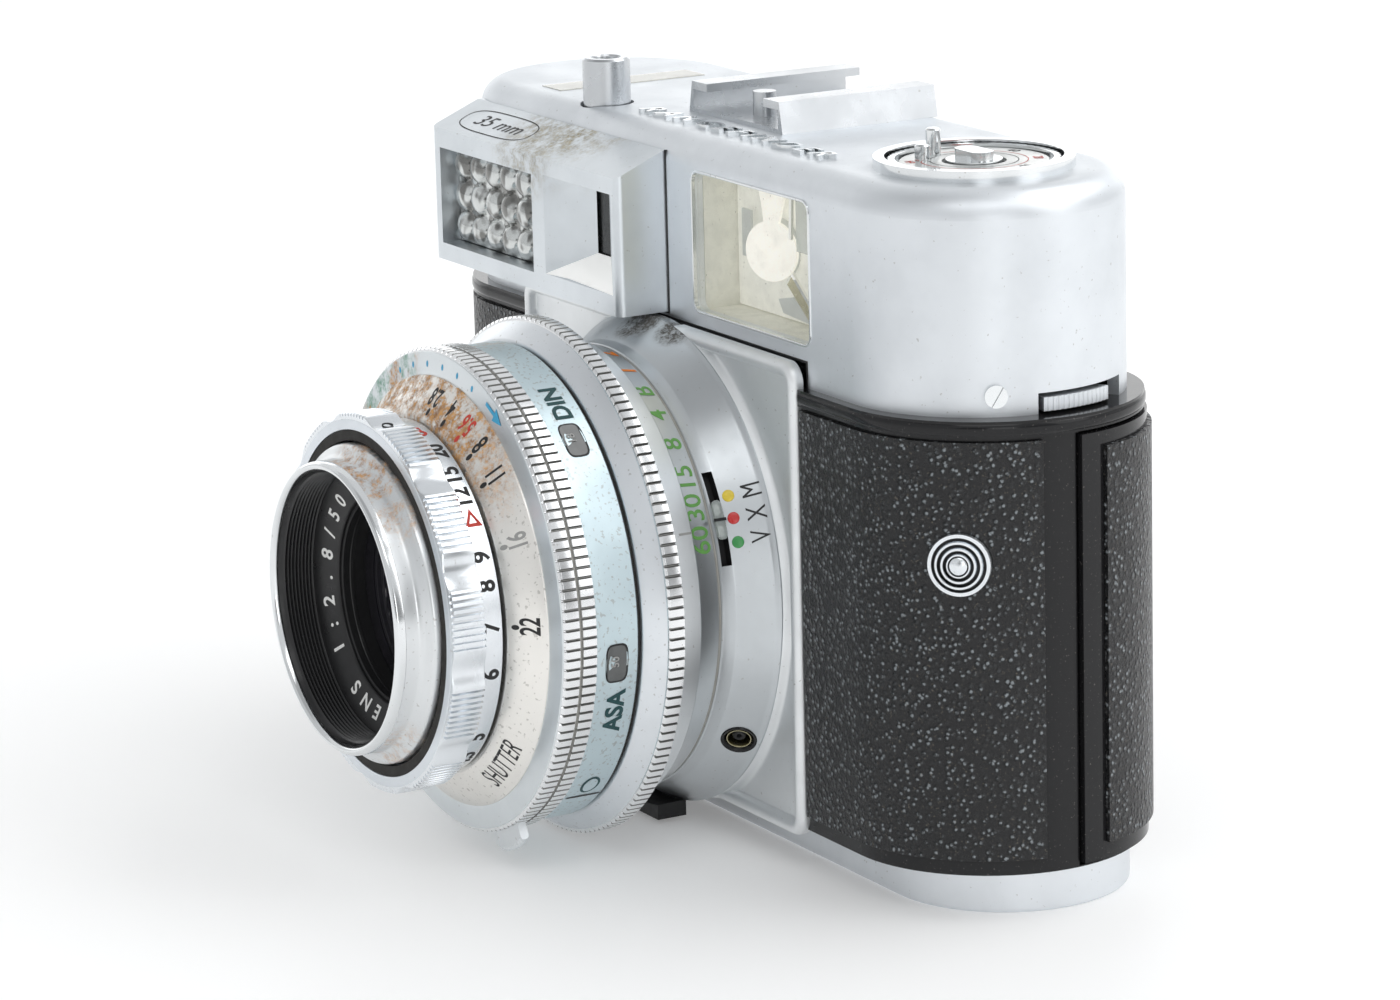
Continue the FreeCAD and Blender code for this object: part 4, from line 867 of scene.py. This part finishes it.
def panel_inset(x, z):
    """Distance in from the outline of the panel, which has rounded corners."""
    half_x = (PANEL_HIGH.x - PANEL_LOW.x) / 2 - CORNER_R
    half_z = (PANEL_Z[1] - PANEL_Z[0]) / 2 - CORNER_R
    dx = abs(x - (PANEL_LOW.x + PANEL_HIGH.x) / 2) - half_x
    dz = abs(z - sum(PANEL_Z) / 2) - half_z
    return CORNER_R - math.hypot(max(dx, 0), max(dz, 0)) - min(max(dx, dz), 0)


def panel_y(x, z):
    """Front surface of the pressed panel outside the bell."""
    inset = panel_inset(x, z)
    rim = 0.0
    if 0 < inset < 2 * RIM_HALF:
        rim = math.sqrt(1 - ((inset - RIM_HALF) / RIM_HALF) ** 2)
    crest = math.exp(-((math.hypot(x, z - LENS_Z) - BELL_R) / 0.40) ** 2)
    return TRAY_Y - (TRAY_Y - RIM_Y) * max(rim, crest)


def panel_reach(turn):
    """Distance from the lens axis to the panel's outline in one direction."""
    near, far = 20.0, 50.0
    for _ in range(24):
        middle = (near + far) / 2
        if panel_inset(middle * math.cos(turn), LENS_Z + middle * math.sin(turn)) > 0:
            near = middle
        else:
            far = middle
    return near


def mount_panel():
    """Pressed chrome panel: raised rim, sunk corners and the skirt back to the body."""
    rays, steps = 1440, 60
    verts, columns = [], {}
    for i, turn in enumerate(circle(rays)):
        reach = panel_reach(turn)
        if reach < BELL_R + 0.05:
            continue
        columns[i] = len(verts)
        for k in range(steps + 1):
            share = 1 - (1 - k / steps) ** 1.6
            r = BELL_R + (reach - BELL_R) * share
            x, z = r * math.cos(turn), LENS_Z + r * math.sin(turn)
            verts.append(at(x, panel_y(x, z), z))
        verts.append(at(x, PANEL_BACK + 0.3, z))
    faces = []
    for i, start in columns.items():
        other = columns.get((i + 1) % rays)
        if other is None:
            continue
        for k in range(steps + 1):
            faces.append((start + k, other + k, other + k + 1, start + k + 1))
    panel = place("lens_panel", verts, faces, TRAY, angle=60)
    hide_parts("mount_plate")


def bell():
    """The bell, with its crest, the curved slot and the hole of the flash socket."""
    rows = [(PANEL_BACK, BELL_R), (RIM_Y + 0.25, BELL_R), (RIM_Y + 0.12, BELL_R + 0.1),
            (RIM_Y - 0.08, BELL_R + 0.1), (RIM_Y - 0.3, BELL_R - 0.1)]
    steps = 24
    for i in range(1, steps + 1):
        y = RIM_Y - 0.3 + (CONE_Y - RIM_Y + 0.3) * i / steps
        rows.append((y, bell_radius(y)))
    rows += [(SLOT_FRONT, bell_radius(SLOT_FRONT)), (NECK_Y + 0.12, NECK_R), (NECK_Y, NECK_R - 0.12),
             (NECK_Y, 22.1)]
    sides = 1440
    socket = on_bell(SOCKET_ANGLE, SOCKET_Y)
    faces = []
    for index, face in enumerate(grid(len(rows), sides)):
        k, i = divmod(index, sides)
        y = (rows[k][0] + rows[k + 1][0]) / 2
        angle = 360 * (i + 0.5) / sides
        in_slot = SLOT_FRONT < y < CONE_Y and SLOT_ANGLES[0] < angle < SLOT_ANGLES[1]
        in_hole = (on_bell(angle, y) - socket).length < SOCKET_R - 0.2
        if not in_slot and not in_hole:
            faces.append(face)
    place("lens_bell", rings_of(rows, sides), faces, BELL)
    turned("neck_seam", hoop(NECK_Y + 0.1, -23.5, BORE_R, NECK_R - 0.25), DULL_SEAM, "camera",
           soft=0.03)


def sync_slot():
    """Walls and dark floor of the curved slot."""
    outline = ((CONE_Y, CONE_R), (CONE_Y, SLOT_FLOOR_R), (SLOT_FRONT, SLOT_FLOOR_R),
               (SLOT_FRONT, bell_radius(SLOT_FRONT)))
    steps = 96
    verts = []
    for i in range(steps + 1):
        turn = math.radians(SLOT_ANGLES[0] + (SLOT_ANGLES[1] - SLOT_ANGLES[0]) * i / steps)
        for y, r in outline:
            verts.append(round_lens(r, turn, y))
    faces = grid(steps + 1, 4, close_columns=False)
    faces += [(0, 1, 2, 3), tuple(4 * steps + k for k in range(4))]
    place("sync_slot", verts, faces, MATT_BLACK, smooth=False)


def enamel_dot(name, angle, y, size, material):
    """Round drop of enamel on the cone, slightly domed."""
    centre = on_bell(angle, y)
    normal = bell_normal(angle)
    side = Vector((-math.sin(math.radians(angle)), 0, math.cos(math.radians(angle))))
    other = normal.cross(side)
    steps = 32
    levels = ((1.0, 0.0), (0.94, 0.07), (0.7, 0.12), (0.35, 0.14))
    verts = []
    for share, rise in levels:
        reach = size * share
        for turn in circle(steps):
            verts.append(at(*(centre + normal * rise + side * reach * math.cos(turn)
                              + other * reach * math.sin(turn))))
    top = (len(levels) - 1) * steps
    place(name, verts, grid(len(levels), steps) + [tuple(range(top, top + steps))], material)


def sync_marks():
    """Slot, coloured dots and letters of the flash synchroniser."""
    sync_slot()
    marks = (("V", 17.0, DOT_GREEN, 16.4), ("X", 22.4, DOT_RED, 22.3), ("M", 27.9, DOT_YELLOW, 27.9))
    for words, angle, dot, dot_angle in marks:
        enamel_dot("sync_dot_" + words, dot_angle, -20.85, 0.66, dot)
        ring_words("sync_letter_" + words, words, 2.75, angle, -18.55, bell_radius, INK, "camera",
                   bold=0.0, stretch=0.8)


def sync_slider():
    """Clear slider in the slot, with its black index line."""
    middle, half = 22.4, 4.8
    front, back = -23.1, -21.95
    low_r, high_r = 25.1, 25.55
    outline = ((back, low_r), (back, high_r - 0.12), (back - 0.12, high_r), (front + 0.12, high_r),
               (front, high_r - 0.12), (front, low_r))
    steps = 40
    verts = []
    for i in range(steps + 1):
        share = 2 * i / steps - 1
        pinch = 0.35 * abs(share) ** 12
        turn = math.radians(middle + half * share)
        for y, r in outline:
            depth = y + (pinch if y < -22.5 else -pinch)
            verts.append(round_lens(r, turn, depth))
    body = "sync_lever_body"
    slider = place("sync_slider", verts, bar_faces(steps + 1, len(outline)), SLIDER, body)
    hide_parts("sync_lever")
    ring_patch("sync_index", middle, -22.6, 0.34, 1.5, straight(high_r), INK, body, corner=0.2)
    # The feet use the darker cream with a glow: painted shade and painted light.
    for end, shift in (("low", -2.7), ("high", 2.7)):
        ring_patch("sync_foot_" + end, middle + shift, -22.4, 1.2, 0.7, straight(24.9), CREAM_SHADE_AND_GLOW,
                   body, corner=0.6)


def small_turned(name, centre, axis, profile, material, body="camera", sides=64):
    """Round piece about any axis; profile is (height along the axis, radius) in millimetres."""
    direction = Vector(axis).normalized()
    side = direction.orthogonal().normalized()
    other = direction.cross(side)
    verts = []
    for along, r in profile:
        for turn in circle(sides):
            p = Vector(centre) + direction * along
            p += side * r * math.cos(turn) + other * r * math.sin(turn)
            verts.append(at(*p))
    return place(name, verts, grid(len(profile), sides), material, body, angle=40)


def flash_socket():
    """Dark collar flush with the cone, a pale contact ring and the centre pin."""
    centre = on_bell(SOCKET_ANGLE, SOCKET_Y)
    axis = bell_normal(SOCKET_ANGLE)
    collar = small_turned("flash_collar", centre, axis,
                          ((-1.0, 2.0), (0.02, 2.0), (0.1, 1.92), (0.1, 1.8), (-0.05, 1.6),
                           (-0.5, 1.45), (-2.4, 1.4), (-2.4, 0.0)), ENAMEL)
    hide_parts("flash_socket")
    small_turned("flash_contact_ring", centre, axis,
                 ((-2.3, 1.42), (-0.3, 1.42), (-0.16, 1.34), (-0.16, 1.26), (-0.3, 1.2),
                  (-2.3, 1.2)), BRASS)
    core = small_turned("flash_core", centre, axis,
                        ((-2.4, 0.75), (-0.7, 0.75), (-0.55, 0.6), (-0.6, 0.3), (-1.6, 0.0)),
                        MATT_BLACK, sides=32)
    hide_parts("flash_socket_core")


# ---- strap studs ----------------------------------------------------------------------
def strap_studs():
    """Domed studs: pale rings standing in a dark dish."""
    stud_low, stud_high = low("strap_studs"), high("strap_studs")
    z = (stud_low.z + stud_high.z) / 2
    angle = math.radians(47.6)
    half, radius = 41.0, 16.15
    dish = ((-0.1, 3.3), (0.35, 3.3), (0.55, 2.6), (0.7, 1.4), (0.75, 0.0))
    rings = ((3.4, 2.85, 0.65), (2.62, 2.22, 0.88), (1.98, 1.58, 1.0), (1.36, 1.04, 1.08))
    for side, name in ((-1, "left"), (1, "right")):
        axis = (side * math.sin(angle), -math.cos(angle), 0)
        centre = (side * (half + radius * math.sin(angle)), -radius * math.cos(angle), z)
        plate = small_turned("stud_" + name, centre, axis, dish, MATT_BLACK)
        if side > 0:
            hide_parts("strap_studs")
        for i, (outer, inner, height) in enumerate(rings):
            top = height + 0.22
            back = 0.0 if i == 0 else 0.4
            small_turned("stud_ring_%s_%d" % (name, i), centre, axis,
                         ((back, outer), (height, outer), (top, outer - 0.12), (top, inner + 0.06),
                          (height, inner)), GRIP)
        small_turned("stud_button_" + name, centre, axis,
                     ((0.5, 0.93), (1.25, 0.93), (1.36, 0.8), (1.4, 0.0)), GRIP)


# ---- bead round the top of the shell ----------------------------------------------------
def shell_bead():
    """Rounded enamel bead that follows the front and the two round ends of the shell."""
    half, radius = 41.0, 16.6
    top, tall, swell = 53.4, 1.8, 0.16
    levels, per_end = 12, 72
    outline = [(PANEL_HIGH.x + 0.3, 0.0, -1.0)]
    for side, start in ((1, -90), (-1, 90)):
        for i in range(per_end + 1):
            turn = math.radians(start + 180 * i / per_end)
            outline.append((side * half, math.cos(turn), math.sin(turn)))
    outline.append((PANEL_LOW.x - 0.3, 0.0, -1.0))
    verts = []
    for k in range(levels + 1):
        share = 2 * k / levels - 1
        reach = radius + swell - (swell + 0.35) * abs(share) ** 3
        for x, across, deep in outline:
            verts.append(at(x + across * reach, deep * reach, top - tall / 2 + share * tall / 2))
    faces = grid(levels + 1, len(outline), close_columns=False)
    place("shell_bead", verts, faces, ENAMEL, angle=60)


# ---- recess in the meter housing -------------------------------------------------------
def recess_painted_highlight():
    """The sloping floor of the recess is bright metal that catches the light from above; here it is
    painted near-white with a glow, a painted highlight.
    """
    meter = nodes["meter_housing"]
    meter.data.materials.append(RECESS_HIGHLIGHT)
    mouth_low, mouth_high = Vector((-16.7, -21.5, 59.1)), Vector((-0.9, -16.0, 62.4))
    for face in meter.data.polygons:
        spot = in_body(meter.matrix_world @ face.center)
        inside = all(a < c < b for a, c, b in zip(mouth_low, spot, mouth_high))
        # Faces on the recess floor get the glowing near-white paint: painted highlight.
        if inside and face.normal.z > 0.5:
            face.material_index = 1


# ---- light cell -----------------------------------------------------------------------
def cell_window():
    """Moulded honeycomb of oval lenslets."""
    a, b = low("cell_window"), high("cell_window")
    columns, rows = 6, 3
    width, height = (b.x - a.x) / columns, (b.z - a.z) / rows
    per = 16
    verts = []
    nx, nz = columns * per, rows * per
    for k in range(nz + 1):
        for i in range(nx + 1):
            x = a.x + (b.x - a.x) * i / nx
            z = a.z + (b.z - a.z) * k / nz
            u = ((x - a.x) / width) % 1.0 - 0.5
            v = ((z - a.z) / height) % 1.0 - 0.5
            swell = max(0.0, 1 - (2.05 * u) ** 2 - (2.02 * v) ** 2)
            verts.append(at(x, a.y + 1.15 - 1.1 * math.sqrt(swell), z))
    faces = grid(nz + 1, nx + 1, close_columns=False)
    panel = place("cell_lenslets", verts, faces, LENSLET, angle=80)
    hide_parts("cell_window")


# ---- top plate ------------------------------------------------------------------------
def top_words():
    """Raised generic word in the place of a name."""
    a, b = low("top_lettering"), high("top_lettering")
    verts, faces = text_points("RANGEFINDER", 3.4, 0.35, 0.03, 1.5)
    width = max(v[0] for v in verts) - min(v[0] for v in verts)
    stretch = (b.x - a.x) / width
    rise = b.z - a.z
    count = len(verts)
    x, y = centre_of(a, b)
    out = [at(x + u * stretch, y + v, a.z + level) for level in (0.0, rise) for u, v, _ in verts]
    solid = [tuple(count + i for i in f) for f in faces]
    edges = dict.fromkeys((f[i], f[(i + 1) % len(f)]) for f in faces for i in range(len(f)))
    solid += [(p, q, q + count, p + count) for p, q in edges if (q, p) not in edges]
    obj = place("raised_word", out, solid, POLISHED, smooth=False)
    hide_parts("top_lettering")


def meter_badge():
    """Plain dark oval and a film width engraved on the sloping top of the meter housing."""
    a, b = low("meter_housing"), high("meter_housing")
    middle_x, middle_y = -33.0, -18.6
    front_top, crest_y = 72.2, -15.4

    def slope(y):
        return front_top + (b.z - front_top) * (y - a.y) / (crest_y - a.y)

    verts, faces = text_points("35 mm", 2.6, shear=0.3)
    out = [at(middle_x + u * 1.5, middle_y + v, slope(middle_y + v) + LIFT) for u, v, _ in verts]
    place("meter_word", out, faces, INK, smooth=False)
    ring = []
    steps = 72
    for turn in circle(steps):
        for grow in (0.0, 0.14):
            x = middle_x + (8.2 + grow) * pushed_out(math.cos(turn), 0.6)
            y = middle_y + (1.9 + grow) * pushed_out(math.sin(turn), 0.7)
            ring.append(at(x, y, slope(y) + LIFT))
    place("meter_oval", ring, grid(steps, 2, True, False), INK, smooth=False)


def release_button():
    a, b = low("release_button"), high("release_button")
    x, y = centre_of(a, b)
    profile = [(a.z + 1.0, 3.6), (a.z + 1.0, 2.7), (b.z - 0.25, 2.7), (b.z, 2.45), (b.z, 1.75),
               (b.z - 0.2, 1.6)]
    for i in range(7):
        z = b.z - 0.4 - 0.45 * i
        profile += [(z, 1.6), (z - 0.22, 1.35)]
    profile += [(b.z - 3.9, 0.0)]
    post = small_turned("release_post", (x, y, 0), (0, 0, 1), profile, GREY_CHROME, "button_body")
    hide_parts("release_button")


def dial_print():
    """Reminder disc with two printed rings, its two pins and small numbers."""
    a, b = low("reminder_disc"), high("reminder_disc")
    x, y = centre_of(a, b)
    body = "reminder_body"
    z = a.z
    disc = small_turned("reminder_plate", (x, y, 0), (0, 0, 1),
                        ((z, 3.4), (z + 0.35, 3.4), (z + 0.4, 3.5), (z + 0.4, 7.8), (z + 0.3, 7.9),
                         (z, 7.9)), DISC_PRINT, body, 96)
    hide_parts("reminder_disc")
    pin_r, number_r = 5.4, 6.7
    for angle, height in ((200, 3.0), (240, 1.9)):
        turn = math.radians(angle)
        px, py = x + pin_r * math.cos(turn), y + pin_r * math.sin(turn)
        small_turned("reminder_pin_%d" % angle, (px, py, z + 0.3), (0, 0, 1),
                     ((0, 0.8), (height - 0.2, 0.8), (height, 0.6), (height, 0.0)),
                     POLISHED, body, 24)
    for i, words in enumerate(("10", "20", "40", "80", "32", "64", "16", "25")):
        angle = math.radians(45 * i + 20)
        verts, faces = text_points(words, 1.5, bold=0.02)
        out = []
        for u, v, _ in verts:
            r = number_r + v
            turn = angle - u / number_r
            out.append(at(x + r * math.cos(turn), y + r * math.sin(turn), z + 0.42))
        place("reminder_number_%d" % i, out, faces, INK_RED if i % 2 else INK, body, smooth=False)
    for radius, ink in ((4.6, INK), (5.6, INK_RED)):
        small_turned("reminder_line_%d" % int(radius * 10), (x, y, 0), (0, 0, 1),
                     ((z + 0.42, radius), (z + 0.42, radius + 0.1)), ink, body, 96)


def slab(name, outline, y, thick, material, lean=0.0, centre=(0.0, 0.0)):
    """Upright plate over (u, v) corners; lean turns it about its own upright axis."""
    turn = math.radians(lean)
    verts = []
    for depth in (0.0, thick):
        for u, v in outline:
            x = centre[0] + u * math.cos(turn) - depth * math.sin(turn)
            verts.append(at(x, y + u * math.sin(turn) + depth * math.cos(turn), centre[1] + v))
    count = len(outline)
    faces = [tuple(range(count)), tuple(count + i for i in reversed(range(count)))]
    return place(name, verts, faces + grid(2, count), material, angle=40)


def oblong(x0, z0, x1, z1):
    """Corners of an upright rectangle, as (x, z) points."""
    return [(x0, z0), (x1, z0), (x1, z1), (x0, z1)]


WINDOW_CORNER = 1.15  # corner radius of the viewfinder window
FINDER_Y = -12.0  # plane of the mask behind it


def finder_mask(roof):
    """Round mask on a neck, with the short tube behind it."""
    radius, middle = 3.3, (17.3, 65.7)
    steps = 64
    start = math.radians(72)
    span = math.radians(360 - 34)
    outline = [(radius * math.cos(start - span * i / steps), radius * math.sin(start - span * i / steps))
               for i in range(steps + 1)]
    outline += [(-1.0, radius + 0.9), (-1.5, roof - middle[1]), (2.0, roof - middle[1])]
    outline.reverse()
    # The mask glows: painted light.
    mask = slab("finder_mask", outline, FINDER_Y, 0.5, MASK_GLOW, 25, middle)
    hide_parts("finder_mirror")
    tube = [(radius * 0.97 * math.cos(turn), radius * 0.97 * math.sin(turn)) for turn in circle(steps)]
    # The tube side is the darker cream with a glow: painted shade and painted light.
    slab("finder_tube", tube, FINDER_Y + 0.6, 2.4, CREAM_SHADE_AND_GLOW, 25, (middle[0] - 0.25, middle[1]))


def finder_inside():
    """What shows behind the viewfinder window: round mask, mirror, prism and card."""
    roof = high("viewfinder_window").z - 0.6
    finder_mask(roof)
    strip = ((21.1, 67.6), (21.6, 67.6), (21.9, roof), (21.4, roof))
    bar = ((21.6, 63.6), (25.7, 60.2), (25.0, 59.4), (20.6, 62.6))
    bar_edge = ((21.8, 64.1), (25.9, 61.0), (25.8, 60.5), (21.6, 63.7))
    foot = ((18.0, 60.6), (19.0, 59.2), (25.6, 58.8), (25.6, 59.6), (21.0, 61.2))
    slab("finder_mirror_strip", strip, FINDER_Y, 0.3, MIRROR)
    slab("finder_dark_glass", oblong(22.2, 66.4, 25.4, roof), FINDER_Y + 0.3, 0.4, PRISM)
    slab("finder_bar", bar, FINDER_Y, 0.5, BRASS)
    slab("finder_bar_edge", bar_edge, FINDER_Y - 0.1, 0.3, MIRROR)
    # Foot and pillar are the darker cream with a glow: painted shade and painted light.
    slab("finder_foot", foot, FINDER_Y + 0.4, 0.4, CREAM_SHADE_AND_GLOW)
    slab("finder_pillar", oblong(9.4, 64.0, 11.3, 69.2), FINDER_Y + 1.0, 0.3, CREAM_SHADE_AND_GLOW)
    a, b = low("viewfinder_window"), high("viewfinder_window")
    glass = [at(x, a.y + 0.1, z) for x, z in rounded_outline(a.x, b.x, a.z, b.z, WINDOW_CORNER)]
    sheet = flat("finder_glass", glass, WINDOW)
    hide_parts("viewfinder_window")
    # The card glows: painted light that brightens the finder from behind.
    slab("finder_card", oblong(a.x, a.z, b.x, b.z), FINDER_Y + 2.2, 0.4, CARD_GLOW)
    window_rim(a, b)


def rounded_outline(x0, x1, z0, z1, radius):
    """Points of a rounded rectangle, as (x, z)."""
    points = []
    per_corner = 8
    for k, (x, z) in enumerate(((x1, z1), (x0, z1), (x0, z0), (x1, z0))):
        cx = x - math.copysign(radius, x - (x0 + x1) / 2)
        cz = z - math.copysign(radius, z - (z0 + z1) / 2)
        for i in range(per_corner + 1):
            turn = math.pi / 2 * (k + i / per_corner)
            points.append((cx + radius * math.cos(turn), cz + radius * math.sin(turn)))
    return points


def window_rim(a, b):
    """Thin polished lip round the viewfinder window."""
    lip = ((0.0, -15.1), (0.0, -15.5), (0.1, -15.56), (0.26, -15.52), (0.3, -15.38))
    verts = []
    count = 0
    for grow, y in lip:
        points = rounded_outline(a.x - grow, b.x + grow, a.z - grow, b.z + grow, WINDOW_CORNER + grow)
        count = len(points)
        verts += [at(x, y, z) for x, z in points]
    place("window_rim", verts, grid(len(lip), count), POLISHED, angle=50)


def seams():
    """Dark joints between the top housing, the lens panel and the meter housing."""
    wall = low("top_housing").y
    top, right, thin = PANEL_Z[1], PANEL_HIGH.x, 0.22
    a, b = low("meter_housing"), high("meter_housing")
    strips = (("panel_seam_top", PANEL_LOW.x, top, right, top + thin, 0.06),
              ("panel_seam_side", right, 53.0, right + 0.24, top + thin, 0.06),
              ("meter_seam_side", b.x, a.z, b.x + 0.26, b.z, 0.05),
              ("meter_seam_low", a.x, a.z - thin, b.x + 0.26, a.z, 0.05))
    for name, x0, z0, x1, z1, proud in strips:
        slab(name, oblong(x0, z0, x1, z1), wall - proud, 0.3, MATT_BLACK)


speed_ring()
film_speed_ring()
aperture_ring()
focus_ring()
front_barrel()
mount_panel()
bell()
sync_marks()
sync_slider()
seams()
flash_socket()
strap_studs()
shell_bead()
recess_painted_highlight()
cell_window()
top_words()
meter_badge()
release_button()
dial_print()
finder_inside()
for name in ("accessory_shoe", "meter_housing"):
    edge(name, 0.18)


# ---- stage, light and camera ------------------------------------------------------------
def backdrop():
    """Pale floor that sweeps up into a pale wall."""
    m = Nodes("floor_paper")
    m.set(Base_Color=m.mix(m.noise(0.004, 2.0, 0.5), (0.86, 0.86, 0.86), (0.90, 0.90, 0.895)),
          Normal=m.bump(m.noise(1.2, 3.0, 0.6), 0.02, 0.2), Roughness=0.55,
          Emission_Color=(1.0, 1.0, 1.0, 1.0), Emission_Strength=0.20)
    width, near, far = 6.0, 3.0, 2.2
    verts = []
    profile = [(-near, 0.0), (far, 0.0)]
    steps = 16
    for i in range(1, steps + 1):
        turn = math.pi / 2 * i / steps
        profile.append((far + math.sin(turn), 1 - math.cos(turn)))
    profile.append((far + 1.0, 4.0))
    facing = math.radians(60.9)
    for d, h in profile:
        for side in (-width, width):
            x = -d * math.sin(facing) + side * math.cos(facing)
            y = d * math.cos(facing) + side * math.sin(facing)
            verts.append((x, y, h))
    faces = grid(len(profile), 2, close_columns=False)
    mesh = bpy.data.meshes.new("floor")
    mesh.from_pydata(verts, [], faces)
    mesh.materials.append(m.mat)
    mesh.shade_smooth()
    obj = bpy.data.objects.new("floor", mesh)
    scene.collection.objects.link(obj)


def toward(azimuth, elevation):
    """Unit vector; azimuth in degrees from -Y toward +X."""
    a, e = math.radians(azimuth), math.radians(elevation)
    return Vector((math.sin(a) * math.cos(e), -math.cos(a) * math.cos(e), math.sin(e)))


LIGHT_TARGET = Vector((0, 0, 0.04))


def softbox(name, azimuth, elevation, distance, size, power):
    """Rectangular soft light aimed at the camera."""
    light = bpy.data.lights.new(name, "AREA")
    light.shape = "RECTANGLE"
    light.size, light.size_y = size
    light.energy = power
    obj = bpy.data.objects.new(name, light)
    direction = toward(azimuth, elevation)
    obj.location = direction * distance + LIGHT_TARGET
    obj.rotation_euler = direction.to_track_quat("Z", "Y").to_euler()
    scene.collection.objects.link(obj)


def world():
    """Pale surroundings: greyer at the left, with dim patches toward the viewer and overhead."""
    scene.world = bpy.data.worlds.new("studio")
    scene.world.use_nodes = True
    w = Graph(scene.world.node_tree)
    coords = w.add("ShaderNodeTexCoord").outputs["Generated"]

    def facing(azimuth, elevation):
        dot = w.add("ShaderNodeVectorMath")
        dot.operation = "DOT_PRODUCT"
        w.feed(dot.inputs[0], coords)
        w.feed(dot.inputs[1], toward(azimuth, elevation))
        return dot.outputs["Value"]

    def dim_patch(azimuth, elevation, outside, inside, strength):
        limits = (math.cos(math.radians(edge_angle)) for edge_angle in (outside, inside))
        return w.ramp(facing(azimuth, elevation), *limits, 1.0, strength)

    height = w.ramp(facing(0, 90), 0.0, 0.8, 0.75, 0.72)
    left = w.ramp(facing(-60, 10), 0.3, 0.95, 1.0, 0.85)
    strength = w.times(height, left)
    for patch in ((50, 5, 16, 9, 0.22), (96, 5, 22, 8, 0.45), (10, 66, 34, 16, 0.60)):
        strength = w.times(strength, dim_patch(*patch))
    background = w.tree.nodes["Background"]
    w.feed(background.inputs["Strength"], strength)
    w.feed(background.inputs["Color"], (0.97, 0.985, 1.0, 1.0))


def camera():
    """Long lens looking down on the right-hand end and the front."""
    back = toward(60.94, 13.43)
    roll = math.radians(-1.46)
    right = Vector((0, 0, 1)).cross(back).normalized()
    up = back.cross(right)
    turn_right = right * math.cos(roll) + up * math.sin(roll)
    turn_up = up * math.cos(roll) - right * math.sin(roll)
    data = bpy.data.cameras.new("camera_view")
    data.sensor_width = 36.0
    data.lens = 133.7
    data.clip_start = 0.05
    obj = bpy.data.objects.new("camera_view", data)
    target = at(153.46, -97.13, 76.81)
    place_at = target + back * 398.75 * MM
    rows = [[turn_right[i], turn_up[i], back[i], place_at[i]] for i in range(3)] + [[0, 0, 0, 1]]
    obj.matrix_world = Matrix(rows)
    scene.collection.objects.link(obj)
    scene.camera = obj


backdrop()
world()
softbox("key_side", 160, 50, 1.1, (0.9, 0.7), 3.6)
softbox("right_side", 122, 26, 1.1, (0.5, 0.9), 1.4)
softbox("right_low", 70, 8, 1.5, (0.5, 0.5), 1.0)
softbox("near_fill", 61, 52, 1.3, (0.8, 0.5), 1.8)
softbox("wall_light", 241, 12, 1.3, (2.4, 0.5), 2.8)
camera()
scene.view_settings.view_transform = "Standard"
scene.view_settings.exposure = 0.0
